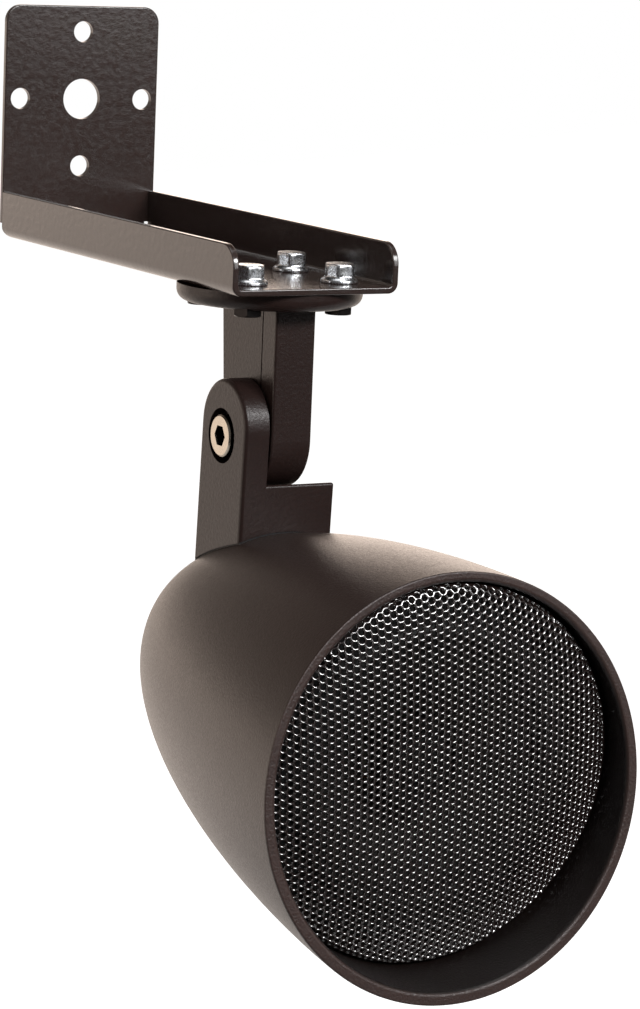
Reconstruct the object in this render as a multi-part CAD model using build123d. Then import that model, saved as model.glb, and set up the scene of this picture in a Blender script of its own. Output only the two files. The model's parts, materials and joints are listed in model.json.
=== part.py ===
from build123d import *

import os
from math import asin, atan2, cos, hypot, radians, sin, tan

# Bullet-shaped outdoor speaker that hangs on a tilting knuckle under a folded wall bracket.
# Frame: the origin is the centre of the screw circle on the wall plate's back face.
# +X is to the right seen from the front, -Y is out from the wall, +Z is up. Millimetres and degrees.

# Wall bracket, one folded sheet
SHEET = 2.0
BEND_INSIDE = 1.2
PLATE_WIDTH = 56.3
PLATE_TOP = 31.1
PLATE_CORNER = 5.5
SCREW_CIRCLE_D = 45.0
SCREW_COUNT = 4
SCREW_HOLE_D = 7.0
CABLE_HOLE_D = 13.5
CHANNEL_LENGTH = 170.6
CHANNEL_DROP = 46.3
WALL_HEIGHT = 15.3
WALL_FRONT_CORNER = 7.0
WALL_REAR_CORNER = 4.0
RELIEF = 1.5
WALL_GAP = 0.2
SHEET_EDGE = 0.45

# Bolted flange under the channel
FLANGE_SET_BACK = 29.4
BOLT_SQUARE = 31.0
BOLT_D = 5.0
BOLT_HOLE_CLEARANCE = 0.25
HEX_AF = 8.8
HEX_HEIGHT = 6.0
BOLT_FLANGE_D = 11.4
BOLT_FLANGE_RIM = 0.9
BOLT_FLANGE_HEIGHT = 2.0
NUT_AF = 8.0
NUT_HEIGHT = 4.0
NUT_POCKET = 1.9
NUT_POCKET_CLEARANCE = 0.5
THREAD_CLEARANCE = 0.05
BOLT_TAIL = 0.3
FLANGE_D = 57.0
FLANGE_THICK = 5.5
FLANGE_ROUND = 3.5

# Hanger arm, cast with the flange
ARM_LENGTH = 40.5
ARM_THICK = 13.6
ARM_DEPTH = 36.0
ARM_SET_BACK = 1.9
ARM_END_R = 16.2
ARM_EDGE = 0.8
ARM_GROOVE_BEHIND = 8.4
ARM_GROOVE_WIDTH = 0.6
ARM_GROOVE_DEPTH = 0.4
ARM_GROOVE_END = 12.0

# Pivot hardware
PIVOT_AHEAD = 1.6
PIVOT_D = 8.0
PIVOT_HEAD_D = 13.0
PIVOT_HEAD_HEIGHT = 5.0
PIVOT_HEAD_PROUD = 0.6
PIVOT_HEAD_EDGE = 0.5
SOCKET_AF = 6.0
SOCKET_DEPTH = 3.0
COUNTERBORE_D = 17.0
RUNNING_CLEARANCE = 0.05
WASHER_D = 16.0
WASHER_THICK = 1.4
PIVOT_NUT_AF = 13.0
PIVOT_NUT_HEIGHT = 6.5
PIVOT_TAIL = 0.4
SPACER_D = 20.0
SPACER_THICK = 0.5

# Knuckle, ear and base block in one casting
BODY_PITCH = 5.4
KNUCKLE_RAKE = 2.5
EAR_OUTER = 15.6
EAR_DEPTH = 29.3
EAR_AHEAD = 0.95
EAR_TOP = 17.7
EAR_EDGE = 1.4
SIDE_CLEARANCE = 0.1
BLOCK_RIGHT = 16.2
BLOCK_DROP = 12.5
BLOCK_EDGE = 0.8
BLOCK_CLEARANCE = 0.35
SADDLE_GASKET = 0.6
SADDLE_INSET = 0.4
KNUCKLE_SCREW_D = 5.0
KNUCKLE_SCREW_HEAD_D = 8.5
KNUCKLE_SCREW_HEAD = 5.0
KNUCKLE_SCREW_GRIP = 9.0
KNUCKLE_SCREW_SPACING = 13.0
KNUCKLE_SCREW_AHEAD = 1.5
KNUCKLE_BOSS_D = 11.5
KNUCKLE_BOSS_HEIGHT = 6.5

# Housing: stations are measured forward from the pivot, along the body axis
AXIS_DROP = 70.6
BODY_R = 61.35
BODY_LENGTH = 173.9
PROFILE_POWER = 1.77
PROFILE_ROOT = 2.19
PROFILE_POINTS = 12
HOUSING_WALL = 3.0
RIM_CENTRE = 128.3
RIM_TO_WIDEST = 9.9
RIM_SLANT = 9.5
RIM_WALL = 3.75
RIM_OUTER_EDGE = 0.5
RIM_INNER_EDGE = 1.3
SEAT_DEPTH = 7.0
SHELF_THICK = 7.0
LEDGE_WIDTH = 4.6

# Grille
GRILLE_SHEET = 1.0
GRILLE_RISE = 4.9
GRILLE_SET_BACK = 0.5
GRILLE_CLEARANCE = 0.4
GRILLE_SKIRT = 5.0
GRILLE_EDGE = 0.8
GRILLE_BORDER = 9.2
GRILLE_WEB = 2.0
GRILLE_RINGS = 5

# Driver: frame, motor and moving system
FRAME_CLEARANCE = 0.5
FRAME_THICK = 2.0
FRAME_LAND = 6.1
FRAME_LIP_CLEARANCE = 1.3
DRIVER_GASKET = 1.0
BASKET_DEPTH = 26.8
BASKET_WALL = 1.6
BASKET_BASE_R = 32.0
BASKET_HOLE_R = 17.0
WINDOW_COUNT = 6
WINDOW_WIDTH = 20.0
WINDOW_MARGIN = 3.0
SPIDER_STEP = 6.0
SPIDER_LEDGE_R = 27.0
DRIVER_SCREW_D = 3.0
DRIVER_SCREW_HEAD_D = 5.0
DRIVER_SCREW_HEAD = 1.8
DRIVER_SCREW_INSET = 2.7
DRIVER_SCREW_COUNT = 4
DRIVER_SCREW_GRIP = 5.0
TOP_PLATE_R = 32.0
TOP_PLATE_THICK = 5.0
MAGNET_R = 36.0
MAGNET_HOLE_R = 18.0
MAGNET_THICK = 15.0
BACK_PLATE_THICK = 5.0
POLE_R = 12.0
POLE_SHORT = 0.5
COIL_R = 13.1
COIL_WALL = 0.4
COIL_WINDING = 0.7
COIL_GAP = 0.8
WINDING_LENGTH = 9.0
CONE_LIP = 2.0
CONE_THICK = 0.9
CONE_DEPTH = 14.8
CONE_NECK_ABOVE = 1.0
GLUE_LINE = 0.05
ROLL_WIDTH = 5.0
ROLL_WALL = 0.7
SURROUND_LIP = 3.0
SPIDER_THICK = 0.6
SPIDER_WAVE = 1.0
SPIDER_WAVES = 5
SPIDER_LAP = 3.5

# Coaxial tweeter
POST_R = 4.0
SPIGOT_R = 2.9
SPIGOT_LENGTH = 10.0
SPIGOT_CLEARANCE = 0.1
TWEETER_R = 12.5
TWEETER_DEPTH = 8.3
TWEETER_WALL = 1.5
DOME_R = 9.5
DOME_RISE = 3.6
DOME_THICK = 0.6
DOME_LIP = 1.4
DOME_SEAT = 2.0

# Filter board inside the tail
BOARD_STATION = 22.0
BOARD_WIDTH = 50.0
BOARD_HEIGHT = 36.0
BOARD_THICK = 1.6
BOARD_SCREW_INSET = 3.5
BOARD_SCREW_D = 3.0
BOARD_SCREW_HEAD_D = 5.6
BOARD_SCREW_HEAD = 2.0
BOARD_SCREW_GRIP = 6.0
LUG_OVERLAP = 7.0
LUG_HEIGHT = 10.0
LUG_THICK = 8.0
CAPACITOR_R = 6.0
CAPACITOR_LENGTH = 24.0
CAPACITOR_UP = 11.0
WINDING_R = 10.0
WINDING_HOLE_R = 4.5
WINDING_HEIGHT = 11.0
WINDING_DOWN = 7.0

# Cable gland at the tail
GLAND_BOSS_R = 10.5
GLAND_BOSS_PROUD = 1.0
GLAND_THREAD_R = 6.0
GLAND_THREAD_LENGTH = 9.0
GLAND_HEX_AF = 17.0
GLAND_HEX_HEIGHT = 4.0
GLAND_NOSE_R = 6.8
GLAND_NOSE_LENGTH = 5.5
GLAND_BORE_R = 4.9
SEAL_HOLE_R = 3.0
SEAL_LENGTH = 8.0
GLAND_CAP_R = 8.4
GLAND_CAP_END = 1.6
GLAND_CAP_HOLE_R = 3.6
GLAND_CAP_GAP = 0.2
GLAND_CAP_ROUND = 1.2

# Places worked out from the sizes
BEND_OUTSIDE = BEND_INSIDE + SHEET
REACH = CHANNEL_LENGTH - FLANGE_SET_BACK
FLOOR_TOP = SHEET - CHANNEL_DROP
FLANGE_UNDER = -CHANNEL_DROP - FLANGE_THICK
PIVOT = Vector(0, -REACH - PIVOT_AHEAD, FLANGE_UNDER - ARM_LENGTH)
EAR_INNER = ARM_THICK / 2 + SPACER_THICK + SIDE_CLEARANCE
PIVOT_RECESS = WASHER_THICK + PIVOT_NUT_HEIGHT + PIVOT_TAIL
EAR_FRONT = EAR_AHEAD + EAR_DEPTH / 2
BLOCK_SLOPE = (asin((ARM_END_R + BLOCK_CLEARANCE) / hypot(EAR_FRONT, BLOCK_DROP))
               - atan2(BLOCK_DROP, EAR_FRONT))
BODY_AHEAD = RIM_CENTRE + RIM_TO_WIDEST
BODY_FRONT = BODY_AHEAD + BODY_R * tan(radians(RIM_SLANT))
BODY_TAIL = BODY_AHEAD - BODY_LENGTH
BORE_R = BODY_R - RIM_WALL
FRAME_R = BORE_R - LEDGE_WIDTH - FRAME_CLEARANCE
DRIVER_OPENING_R = FRAME_R - FRAME_LAND
FRAME_MOUTH_R = DRIVER_OPENING_R - FRAME_LIP_CLEARANCE - BASKET_WALL
DRIVER_SCREW_CIRCLE_R = FRAME_R - DRIVER_SCREW_INSET
CONE_RIM_R = FRAME_MOUTH_R - ROLL_WIDTH
GRILLE_FACE = RIM_CENTRE - BORE_R * tan(radians(RIM_SLANT)) - GRILLE_SET_BACK
LEDGE = GRILLE_FACE - GRILLE_SKIRT
SEAT = LEDGE - SEAT_DEPTH
SHELF_BACK = SEAT - SHELF_THICK
FRAME_SEAT = SEAT + DRIVER_GASKET
FRAME_FRONT = FRAME_SEAT + FRAME_THICK
MOTOR_FRONT = FRAME_SEAT - BASKET_DEPTH
MAGNET_FRONT = MOTOR_FRONT - TOP_PLATE_THICK
BACK_PLATE_FRONT = MAGNET_FRONT - MAGNET_THICK
POLE_TOP = MOTOR_FRONT - POLE_SHORT
CONE_NECK = FRAME_FRONT - CONE_DEPTH
TWEETER_BACK = FRAME_FRONT - TWEETER_DEPTH
GLAND_FACE = BODY_TAIL - GLAND_BOSS_PROUD


def tilted(pitch, drop):
    """Plane below the pivot: x to the right, y up and z forward, nose down by the pitch."""
    a = radians(pitch)
    up = Vector(0, -sin(a), cos(a))
    return Plane(origin=PIVOT - up * drop, x_dir=(1, 0, 0), z_dir=(0, -cos(a), -sin(a)))


def sideways(pitch):
    """Plane through the pivot: x forward, y up and z to the left, nose down by the pitch."""
    a = radians(pitch)
    return Plane(origin=PIVOT, x_dir=(0, -cos(a), -sin(a)), z_dir=(-1, 0, 0))


BODY = tilted(BODY_PITCH, AXIS_DROP)
KNUCKLE_SIDE = sideways(BODY_PITCH - KNUCKLE_RAKE)
ARM_SIDE = sideways(0)


def turned(*outline):
    """Solid of revolution about Z from a closed outline of (radius, station) points."""
    return revolve(make_face(Polyline(*[(r, 0, s) for r, s in outline], close=True)), Axis.Z)


def rod(radius, start, end):
    """Cylinder about Z between two stations."""
    return Pos(0, 0, start) * extrude(Circle(radius), end - start)


def ring(outer, inner, start, end):
    """Tube about Z between two stations."""
    return Pos(0, 0, start) * extrude(Circle(outer) - Circle(inner), end - start)


def hexagon(across_flats, start, end):
    """Hexagonal bar about Z between two stations."""
    return Pos(0, 0, start) * extrude(RegularPolygon(across_flats / 2, 6, major_radius=False), end - start)


def ballooned(grow):
    """Bullet body grown by an offset, as a solid about Z.

    The outline is r = R cos(a)^(2/root) and s = front - L sin(a)^(2/power), with a from 0 to 90 degrees.
    """
    radius, length = BODY_R + grow, BODY_LENGTH + grow
    angles = [radians(90) * i / PROFILE_POINTS for i in range(PROFILE_POINTS + 1)]
    curve = [(radius * cos(a) ** (2 / PROFILE_ROOT), BODY_AHEAD - length * sin(a) ** (2 / PROFILE_POWER))
             for a in angles[:-1]] + [(0, BODY_AHEAD - length)]
    line = Spline(*[(r, 0, s) for r, s in curve], tangents=[(0, 0, -1), (-1, 0, 0)])
    closing = Polyline((0, 0, curve[-1][1]), (0, 0, BODY_FRONT), (radius, 0, BODY_FRONT),
                       (radius, 0, BODY_AHEAD))
    return revolve(make_face(line.edges() + closing.edges()), Axis.Z)


def body_radius(station):
    """Outer radius of the bullet body at a station, by the outline's formula."""
    share = (BODY_AHEAD - station) / BODY_LENGTH
    return BODY_R * (1 - share ** PROFILE_POWER) ** (1 / PROFILE_ROOT)


OUTER = ballooned(0)


# Wall bracket and bolted flange

def rounded(*corners):
    """Face from (x, y, radius) corners, with each corner rounded by its radius."""
    face = make_face(Polyline(*[(x, y) for x, y, _ in corners], close=True))
    for x, y, radius in corners:
        if radius:
            face = fillet(face.vertices().sort_by_distance((x, y))[0], radius)
    return face


def bolt_places():
    """The four bolt centres of the square on the channel floor."""
    return [Pos(x * BOLT_SQUARE / 2, y * BOLT_SQUARE / 2 - REACH) for x in (-1, 1) for y in (-1, 1)]


def on_free_edge(edge):
    """True for an edge along the top or the front end of the channel's walls and floor."""
    middle, box = edge.center(), edge.bounding_box()
    ahead = middle.Y < WALL_FRONT_CORNER - CHANNEL_LENGTH
    above = middle.Z > WALL_HEIGHT - WALL_FRONT_CORNER - CHANNEL_DROP and box.size.Y > SHEET
    across_sheet = box.size.X > SHEET / 2 and middle.Z > FLOOR_TOP + BEND_INSIDE
    return (ahead or above) and not across_sheet


def wall_bracket():
    """Back plate, bend strip and U-channel shelf of one folded sheet, with its holes."""
    half = PLATE_WIDTH / 2
    wall_top = WALL_HEIGHT - CHANNEL_DROP
    back = SHEET + WALL_GAP

    tall = 2 * WALL_HEIGHT + 2 * BEND_OUTSIDE
    section = Pos(0, tall / 2 - CHANNEL_DROP) * RectangleRounded(PLATE_WIDTH, tall, BEND_OUTSIDE)
    section -= Pos(0, tall / 2 + FLOOR_TOP) * RectangleRounded(PLATE_WIDTH - 2 * SHEET, tall, BEND_INSIDE)
    channel = extrude(Plane.XZ * section, CHANNEL_LENGTH)
    side = rounded((-back, wall_top, 0), (-back, -CHANNEL_DROP, WALL_REAR_CORNER),
                   (-CHANNEL_LENGTH, -CHANNEL_DROP, 0), (-CHANNEL_LENGTH, wall_top, WALL_FRONT_CORNER))
    channel &= extrude(Plane.YZ * side, half, both=True)
    channel = fillet(channel.edges().filter_by(on_free_edge), SHEET_EDGE)

    bend_low, bend_high = -CHANNEL_DROP, RELIEF + BEND_OUTSIDE - CHANNEL_DROP
    reach = WALL_REAR_CORNER + back + BEND_OUTSIDE
    fold = rounded((0, bend_high, 0), (0, bend_low, BEND_OUTSIDE), (-reach, bend_low, 0),
                   (-reach, FLOOR_TOP, 0), (-SHEET, FLOOR_TOP, BEND_INSIDE), (-SHEET, bend_high, 0))
    strip = extrude(Plane.YZ * fold, half - BEND_OUTSIDE, both=True)

    plate = rounded((-half, bend_high, 0), (half, bend_high, 0),
                    (half, PLATE_TOP, PLATE_CORNER), (-half, PLATE_TOP, PLATE_CORNER))
    plate -= Circle(CABLE_HOLE_D / 2)
    plate -= PolarLocations(SCREW_CIRCLE_D / 2, SCREW_COUNT) * Circle(SCREW_HOLE_D / 2)
    plate = extrude(Plane.XZ * plate, SHEET)
    outline = plate.edges().filter_by(lambda e: e.bounding_box().size.Y < SHEET / 2 and not e.is_closed)
    plate = fillet(outline.filter_by(lambda e: e.center().Z > bend_high), SHEET_EDGE)
    bracket = channel + strip + plate
    hole = rod(BOLT_D / 2 + BOLT_HOLE_CLEARANCE, -CHANNEL_DROP, FLOOR_TOP)
    return bracket - [p * hole for p in bolt_places()]


def flange_bolt():
    """Hex flange bolt about Z with its bearing face at 0 and its head upwards."""
    head = hexagon(HEX_AF, BOLT_FLANGE_RIM, HEX_HEIGHT)
    corner = HEX_AF / 3 ** 0.5
    head &= turned((0, 0), (corner, 0), (corner, HEX_HEIGHT - (corner - HEX_AF / 2)), (HEX_AF / 2, HEX_HEIGHT),
                   (0, HEX_HEIGHT))
    skirt = turned((0, 0), (BOLT_FLANGE_D / 2, 0), (BOLT_FLANGE_D / 2, BOLT_FLANGE_RIM),
                   (HEX_AF / 2, BOLT_FLANGE_HEIGHT), (0, BOLT_FLANGE_HEIGHT))
    shank_end = -(SHEET + FLANGE_THICK - NUT_POCKET + NUT_HEIGHT + BOLT_TAIL)
    return head + skirt + rod(BOLT_D / 2, shank_end, 0)


def flange_nut():
    """Hex nut about Z with its bearing face at 0, hanging down."""
    corner = NUT_AF / 3 ** 0.5
    nut = hexagon(NUT_AF, -NUT_HEIGHT, 0)
    nut &= turned((0, 0), (corner, 0), (corner, corner - NUT_AF / 2 - NUT_HEIGHT), (NUT_AF / 2, -NUT_HEIGHT),
                  (0, -NUT_HEIGHT))
    return nut - rod(BOLT_D / 2 + THREAD_CLEARANCE, -NUT_HEIGHT, 0)


def hanger_arm():
    """Round flange and the flat arm below it, one casting, with bolt holes, nut pockets and pivot recess.

    A shallow groove runs down the arm's left face near its front.
    """
    flange = Pos(0, -REACH, FLANGE_UNDER) * extrude(Circle(FLANGE_D / 2), FLANGE_THICK)
    flange = fillet(flange.edges().group_by(Axis.Z)[0], FLANGE_ROUND)
    hole = BOLT_D / 2 + BOLT_HOLE_CLEARANCE
    pocket = NUT_AF / 3 ** 0.5 + NUT_POCKET_CLEARANCE
    flange -= [p * rod(hole, FLANGE_UNDER, -CHANNEL_DROP) for p in bolt_places()]
    flange -= [p * rod(pocket, FLANGE_UNDER, FLANGE_UNDER + NUT_POCKET) for p in bolt_places()]

    front, rear = ARM_DEPTH / 2 - ARM_SET_BACK, -ARM_DEPTH / 2 - ARM_SET_BACK
    top = Line((rear, ARM_LENGTH + FLANGE_THICK / 2), (front, ARM_LENGTH + FLANGE_THICK / 2))
    outline = make_hull(Circle(ARM_END_R).edges() + top.edges())
    arm = extrude(outline, ARM_THICK / 2, both=True)
    arm = fillet(arm.edges().filter_by(lambda e: abs(e.center().Z) > ARM_THICK / 4), ARM_EDGE)
    groove = Rectangle(ARM_GROOVE_WIDTH, ARM_LENGTH - ARM_GROOVE_END, align=(Align.CENTER, Align.MIN))
    groove = Pos(front - ARM_GROOVE_BEHIND, ARM_GROOVE_END, ARM_THICK / 2) * groove
    arm -= extrude(groove, ARM_GROOVE_DEPTH, both=True)
    arm -= rod(PIVOT_D / 2 + RUNNING_CLEARANCE, -ARM_THICK, ARM_THICK)
    arm -= rod(COUNTERBORE_D / 2, -ARM_THICK, PIVOT_RECESS - ARM_THICK / 2)
    return flange + ARM_SIDE * arm


# Pivot hardware, along the pivot axis: stations are measured to the left from the arm's middle

def pivot_screw():
    """Low-head socket screw with its head in the ear's counterbore."""
    top = EAR_OUTER + PIVOT_HEAD_PROUD
    under = top - PIVOT_HEAD_HEIGHT
    head = rod(PIVOT_HEAD_D / 2, under, top)
    head = chamfer(head.edges().group_by(Axis.Z)[-1], PIVOT_HEAD_EDGE)
    head -= hexagon(SOCKET_AF, top - SOCKET_DEPTH, top)
    return ARM_SIDE * (head + rod(PIVOT_D / 2, -ARM_THICK / 2, under))


def pivot_spacer():
    """Friction washer between the arm's left face and the ear."""
    face = ARM_THICK / 2
    return ARM_SIDE * ring(SPACER_D / 2, PIVOT_D / 2 + RUNNING_CLEARANCE, face, face + SPACER_THICK)


def pivot_washer():
    """Flat washer at the bottom of the recess in the arm's right face."""
    face = PIVOT_RECESS - ARM_THICK / 2
    return ARM_SIDE * ring(WASHER_D / 2, PIVOT_D / 2 + RUNNING_CLEARANCE, face - WASHER_THICK, face)


def pivot_nut():
    """Hex nut on the washer, sunk in the arm's recess and chamfered on its outer side."""
    face = PIVOT_RECESS - ARM_THICK / 2 - WASHER_THICK
    corner = PIVOT_NUT_AF / 3 ** 0.5
    end = face - PIVOT_NUT_HEIGHT
    nut = hexagon(PIVOT_NUT_AF, end, face)
    nut &= turned((0, face), (corner, face), (corner, end + corner - PIVOT_NUT_AF / 2), (PIVOT_NUT_AF / 2, end),
                  (0, end))
    return ARM_SIDE * (nut - rod(PIVOT_D / 2 + THREAD_CLEARANCE, end, face))


# Knuckle and its seat on the housing

def knuckle_screw_places():
    """Upright planes on the body axis at the knuckle screws, each with its boss face height."""
    stations = [KNUCKLE_SCREW_AHEAD + side * KNUCKLE_SCREW_SPACING / 2 for side in (-1, 1)]
    return [(Plane(origin=(0, 0, s), x_dir=(1, 0, 0), z_dir=(0, 1, 0)), body_radius(s) - KNUCKLE_BOSS_HEIGHT)
            for s in stations]


def knuckle_prism(inset):
    """Ear and block as plain upright prisms down to the body axis, drawn in by an inset, about the pivot."""
    low = -AXIS_DROP
    depth, arc = EAR_DEPTH - 2 * inset, EAR_DEPTH / 2
    rear, front = EAR_AHEAD - depth / 2, EAR_AHEAD + depth / 2
    ear = Pos(EAR_AHEAD, low) * Rectangle(depth, EAR_TOP - arc - low, align=(Align.CENTER, Align.MIN))
    ear += Pos(EAR_AHEAD, EAR_TOP - arc) * Circle(depth / 2)
    block = rounded((rear, low, 0), (front, low, 0), (front, -BLOCK_DROP, 0),
                    (rear, -BLOCK_DROP - depth * tan(BLOCK_SLOPE), 0))
    ear = Pos(0, 0, EAR_INNER) * extrude(ear, EAR_OUTER - EAR_INNER - inset)
    block = Pos(0, 0, inset - BLOCK_RIGHT) * extrude(block, BLOCK_RIGHT + EAR_INNER - inset)
    return ear, block


def knuckle():
    """Pivot ear and base block, one casting. The block's top falls to the back, clear of the arm's round end."""
    ear, block = knuckle_prism(0)
    outline = ear.edges().group_by(Axis.Z)[-1].filter_by(lambda e: e.center().Y > -0.99 * AXIS_DROP)
    ear = fillet(outline, EAR_EDGE)
    block = fillet(block.edges().filter_by(lambda e: e.center().Y > -0.99 * AXIS_DROP
                                           and e.center().Z < 0.99 * EAR_INNER), BLOCK_EDGE)
    part = ear + block
    part -= rod(PIVOT_D / 2 + RUNNING_CLEARANCE, EAR_INNER, EAR_OUTER)
    head_under = EAR_OUTER + PIVOT_HEAD_PROUD - PIVOT_HEAD_HEIGHT
    part -= rod(COUNTERBORE_D / 2, head_under - RUNNING_CLEARANCE, EAR_OUTER)
    part = KNUCKLE_SIDE * part - BODY * ballooned(SADDLE_GASKET)
    hole = KNUCKLE_SCREW_D / 2 + THREAD_CLEARANCE
    depth = KNUCKLE_BOSS_HEIGHT + SADDLE_GASKET + KNUCKLE_SCREW_GRIP
    return part - [BODY * plane * rod(hole, face, face + depth) for plane, face in knuckle_screw_places()]


def saddle_gasket():
    """Thin curved gasket between the knuckle and the housing, a little inside the knuckle's edges."""
    ear, block = knuckle_prism(SADDLE_INSET)
    skin = BODY * (ballooned(SADDLE_GASKET) - OUTER)
    pad = skin & (KNUCKLE_SIDE * (ear + block))
    hole = KNUCKLE_SCREW_D / 2 + BOLT_HOLE_CLEARANCE
    return pad - [BODY * plane * rod(hole, face, face + 2 * KNUCKLE_BOSS_HEIGHT)
                  for plane, face in knuckle_screw_places()]


def knuckle_screws():
    """Two socket screws from inside the housing up into the base block."""
    grip = KNUCKLE_BOSS_HEIGHT + SADDLE_GASKET + KNUCKLE_SCREW_GRIP - BOLT_TAIL
    screws = []
    for plane, face in knuckle_screw_places():
        head = rod(KNUCKLE_SCREW_HEAD_D / 2, face - KNUCKLE_SCREW_HEAD, face)
        head -= hexagon(KNUCKLE_SCREW_D / 2, face - KNUCKLE_SCREW_HEAD, face - KNUCKLE_SCREW_HEAD / 2)
        screws.append(BODY * plane * (head + rod(KNUCKLE_SCREW_D / 2, face, face + grip)))
    return screws


# Housing and grille, in the body's own frame: x to the right, y up and z forward

def driver_screw_places():
    """Centres of the driver screws on their circle, at station 0."""
    return PolarLocations(DRIVER_SCREW_CIRCLE_R, DRIVER_SCREW_COUNT, start_angle=45)


def board_screw_places():
    """Centres of the two board screws, at station 0."""
    x = BOARD_WIDTH / 2 - BOARD_SCREW_INSET
    return [Pos(-x, 0), Pos(x, 0)]


def housing():
    """Bullet-shaped casting with its slanted rim, grille ledge, driver seat, lugs, bosses and gland hole."""
    slant = radians(RIM_SLANT)
    shell = OUTER - (ballooned(-HOUSING_WALL) - rod(2 * BODY_R, SHELF_BACK, 2 * BODY_FRONT))
    shell -= rod(BORE_R, LEDGE, BODY_FRONT)
    shell -= rod(FRAME_R + FRAME_CLEARANCE, SEAT, LEDGE)
    shell -= rod(DRIVER_OPENING_R, SHELF_BACK, SEAT)

    rim_plane = Plane(origin=(0, 0, RIM_CENTRE), x_dir=(1, 0, 0), z_dir=(0, sin(slant), cos(slant)))
    shell -= rim_plane * extrude(Rectangle(4 * BODY_R, 4 * BODY_R), 4 * BODY_R)
    shell = fillet(shell.faces().filter_by(rim_plane)[0].outer_wire().edges(), RIM_OUTER_EDGE)
    shell = fillet(shell.faces().filter_by(rim_plane)[0].inner_wires()[0].edges(), RIM_INNER_EDGE)

    lug_reach = BODY_R - BOARD_WIDTH / 2 + LUG_OVERLAP
    for side in (-1, 1):
        lug = Pos(side * (BODY_R - lug_reach / 2), 0) * Rectangle(lug_reach, LUG_HEIGHT)
        shell += OUTER & (Pos(0, 0, BOARD_STATION - LUG_THICK) * extrude(lug, LUG_THICK))
    for plane, face in knuckle_screw_places():
        shell += OUTER & (plane * rod(KNUCKLE_BOSS_D / 2, face, face + 2 * KNUCKLE_BOSS_HEIGHT))
    shell += rod(GLAND_BOSS_R, GLAND_FACE, GLAND_FACE + GLAND_THREAD_LENGTH)

    through = KNUCKLE_SCREW_D / 2 + BOLT_HOLE_CLEARANCE
    shell -= [plane * rod(through, face, face + 2 * KNUCKLE_BOSS_HEIGHT)
              for plane, face in knuckle_screw_places()]
    shell -= [p * rod(DRIVER_SCREW_D / 2 + THREAD_CLEARANCE, SEAT - DRIVER_SCREW_GRIP, SEAT)
              for p in driver_screw_places()]
    shell -= [p * rod(BOARD_SCREW_D / 2 + THREAD_CLEARANCE, BOARD_STATION - LUG_THICK, BOARD_STATION)
              for p in board_screw_places()]
    return BODY * (shell - rod(GLAND_THREAD_R + THREAD_CLEARANCE, GLAND_FACE, GLAND_FACE + GLAND_THREAD_LENGTH))


def grille():
    """Domed sheet with a folded skirt that stands on the ledge, open in a honeycomb of gaps."""
    radius = BORE_R - GRILLE_CLEARANCE
    ball = (radius ** 2 + GRILLE_RISE ** 2) / (2 * GRILLE_RISE)
    apex = GRILLE_FACE + GRILLE_RISE
    cup = rod(radius, LEDGE, apex) & Pos(0, 0, apex - ball) * Sphere(ball)
    cup = fillet(cup.edges().filter_by(lambda e: e.is_closed).sort_by(Axis.Z)[-1], GRILLE_EDGE)
    cup -= rod(radius - GRILLE_SHEET, LEDGE, apex) & Pos(0, 0, apex - ball) * Sphere(ball - GRILLE_SHEET)
    pitch = (radius - GRILLE_BORDER) / GRILLE_RINGS
    gap = hexagon(pitch - GRILLE_WEB, LEDGE, apex)
    span = range(-GRILLE_RINGS, GRILLE_RINGS + 1)
    places = [Pos((i + j / 2) * pitch, j * pitch * 3 ** 0.5 / 2)
              for i in span for j in span if abs(i + j) <= GRILLE_RINGS]
    return BODY * (cup - [p * gap for p in places])


# Driver

def driver_gasket():
    """Flat ring between the driver frame and its seat."""
    pad = ring(FRAME_R, DRIVER_OPENING_R, SEAT, FRAME_SEAT)
    hole = rod(DRIVER_SCREW_D / 2 + THREAD_CLEARANCE, SEAT, FRAME_SEAT)
    return BODY * (pad - [p * hole for p in driver_screw_places()])


def driver_basket():
    """Pressed frame: flange, conical wall with windows, spider ledge and base ring."""
    ledge = MOTOR_FRONT + SPIDER_STEP
    floor = MOTOR_FRONT + BASKET_WALL
    basket = turned((FRAME_R, FRAME_SEAT), (FRAME_R, FRAME_FRONT), (FRAME_MOUTH_R, FRAME_FRONT),
                    (BASKET_BASE_R, ledge), (SPIDER_LEDGE_R, ledge), (SPIDER_LEDGE_R, floor),
                    (BASKET_HOLE_R, floor), (BASKET_HOLE_R, MOTOR_FRONT),
                    (BASKET_BASE_R, MOTOR_FRONT), (FRAME_MOUTH_R + BASKET_WALL, FRAME_SEAT))
    low, high = ledge + WINDOW_MARGIN, FRAME_SEAT - WINDOW_MARGIN
    window = Pos(FRAME_R / 2, 0, low) * extrude(Rectangle(FRAME_R, WINDOW_WIDTH), high - low)
    basket -= [Rot(Z=360 * i / WINDOW_COUNT) * window for i in range(WINDOW_COUNT)]
    hole = rod(DRIVER_SCREW_D / 2 + BOLT_HOLE_CLEARANCE, FRAME_SEAT, FRAME_FRONT)
    return BODY * (basket - [p * hole for p in driver_screw_places()])


def driver_screw():
    """Pan screw about Z that holds the frame on its seat."""
    head = rod(DRIVER_SCREW_HEAD_D / 2, FRAME_FRONT, FRAME_FRONT + DRIVER_SCREW_HEAD)
    head = fillet(head.edges().group_by(Axis.Z)[-1], DRIVER_SCREW_HEAD / 2)
    return head + rod(DRIVER_SCREW_D / 2, SEAT - DRIVER_SCREW_GRIP + BOLT_TAIL, FRAME_FRONT)


def top_plate():
    """Front plate of the motor, with the voice coil's gap."""
    hole = COIL_R + COIL_WALL + COIL_WINDING + COIL_GAP
    return BODY * ring(TOP_PLATE_R, hole, MAGNET_FRONT, MOTOR_FRONT)


def magnet():
    """Ring magnet."""
    return BODY * ring(MAGNET_R, MAGNET_HOLE_R, BACK_PLATE_FRONT, MAGNET_FRONT)


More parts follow.
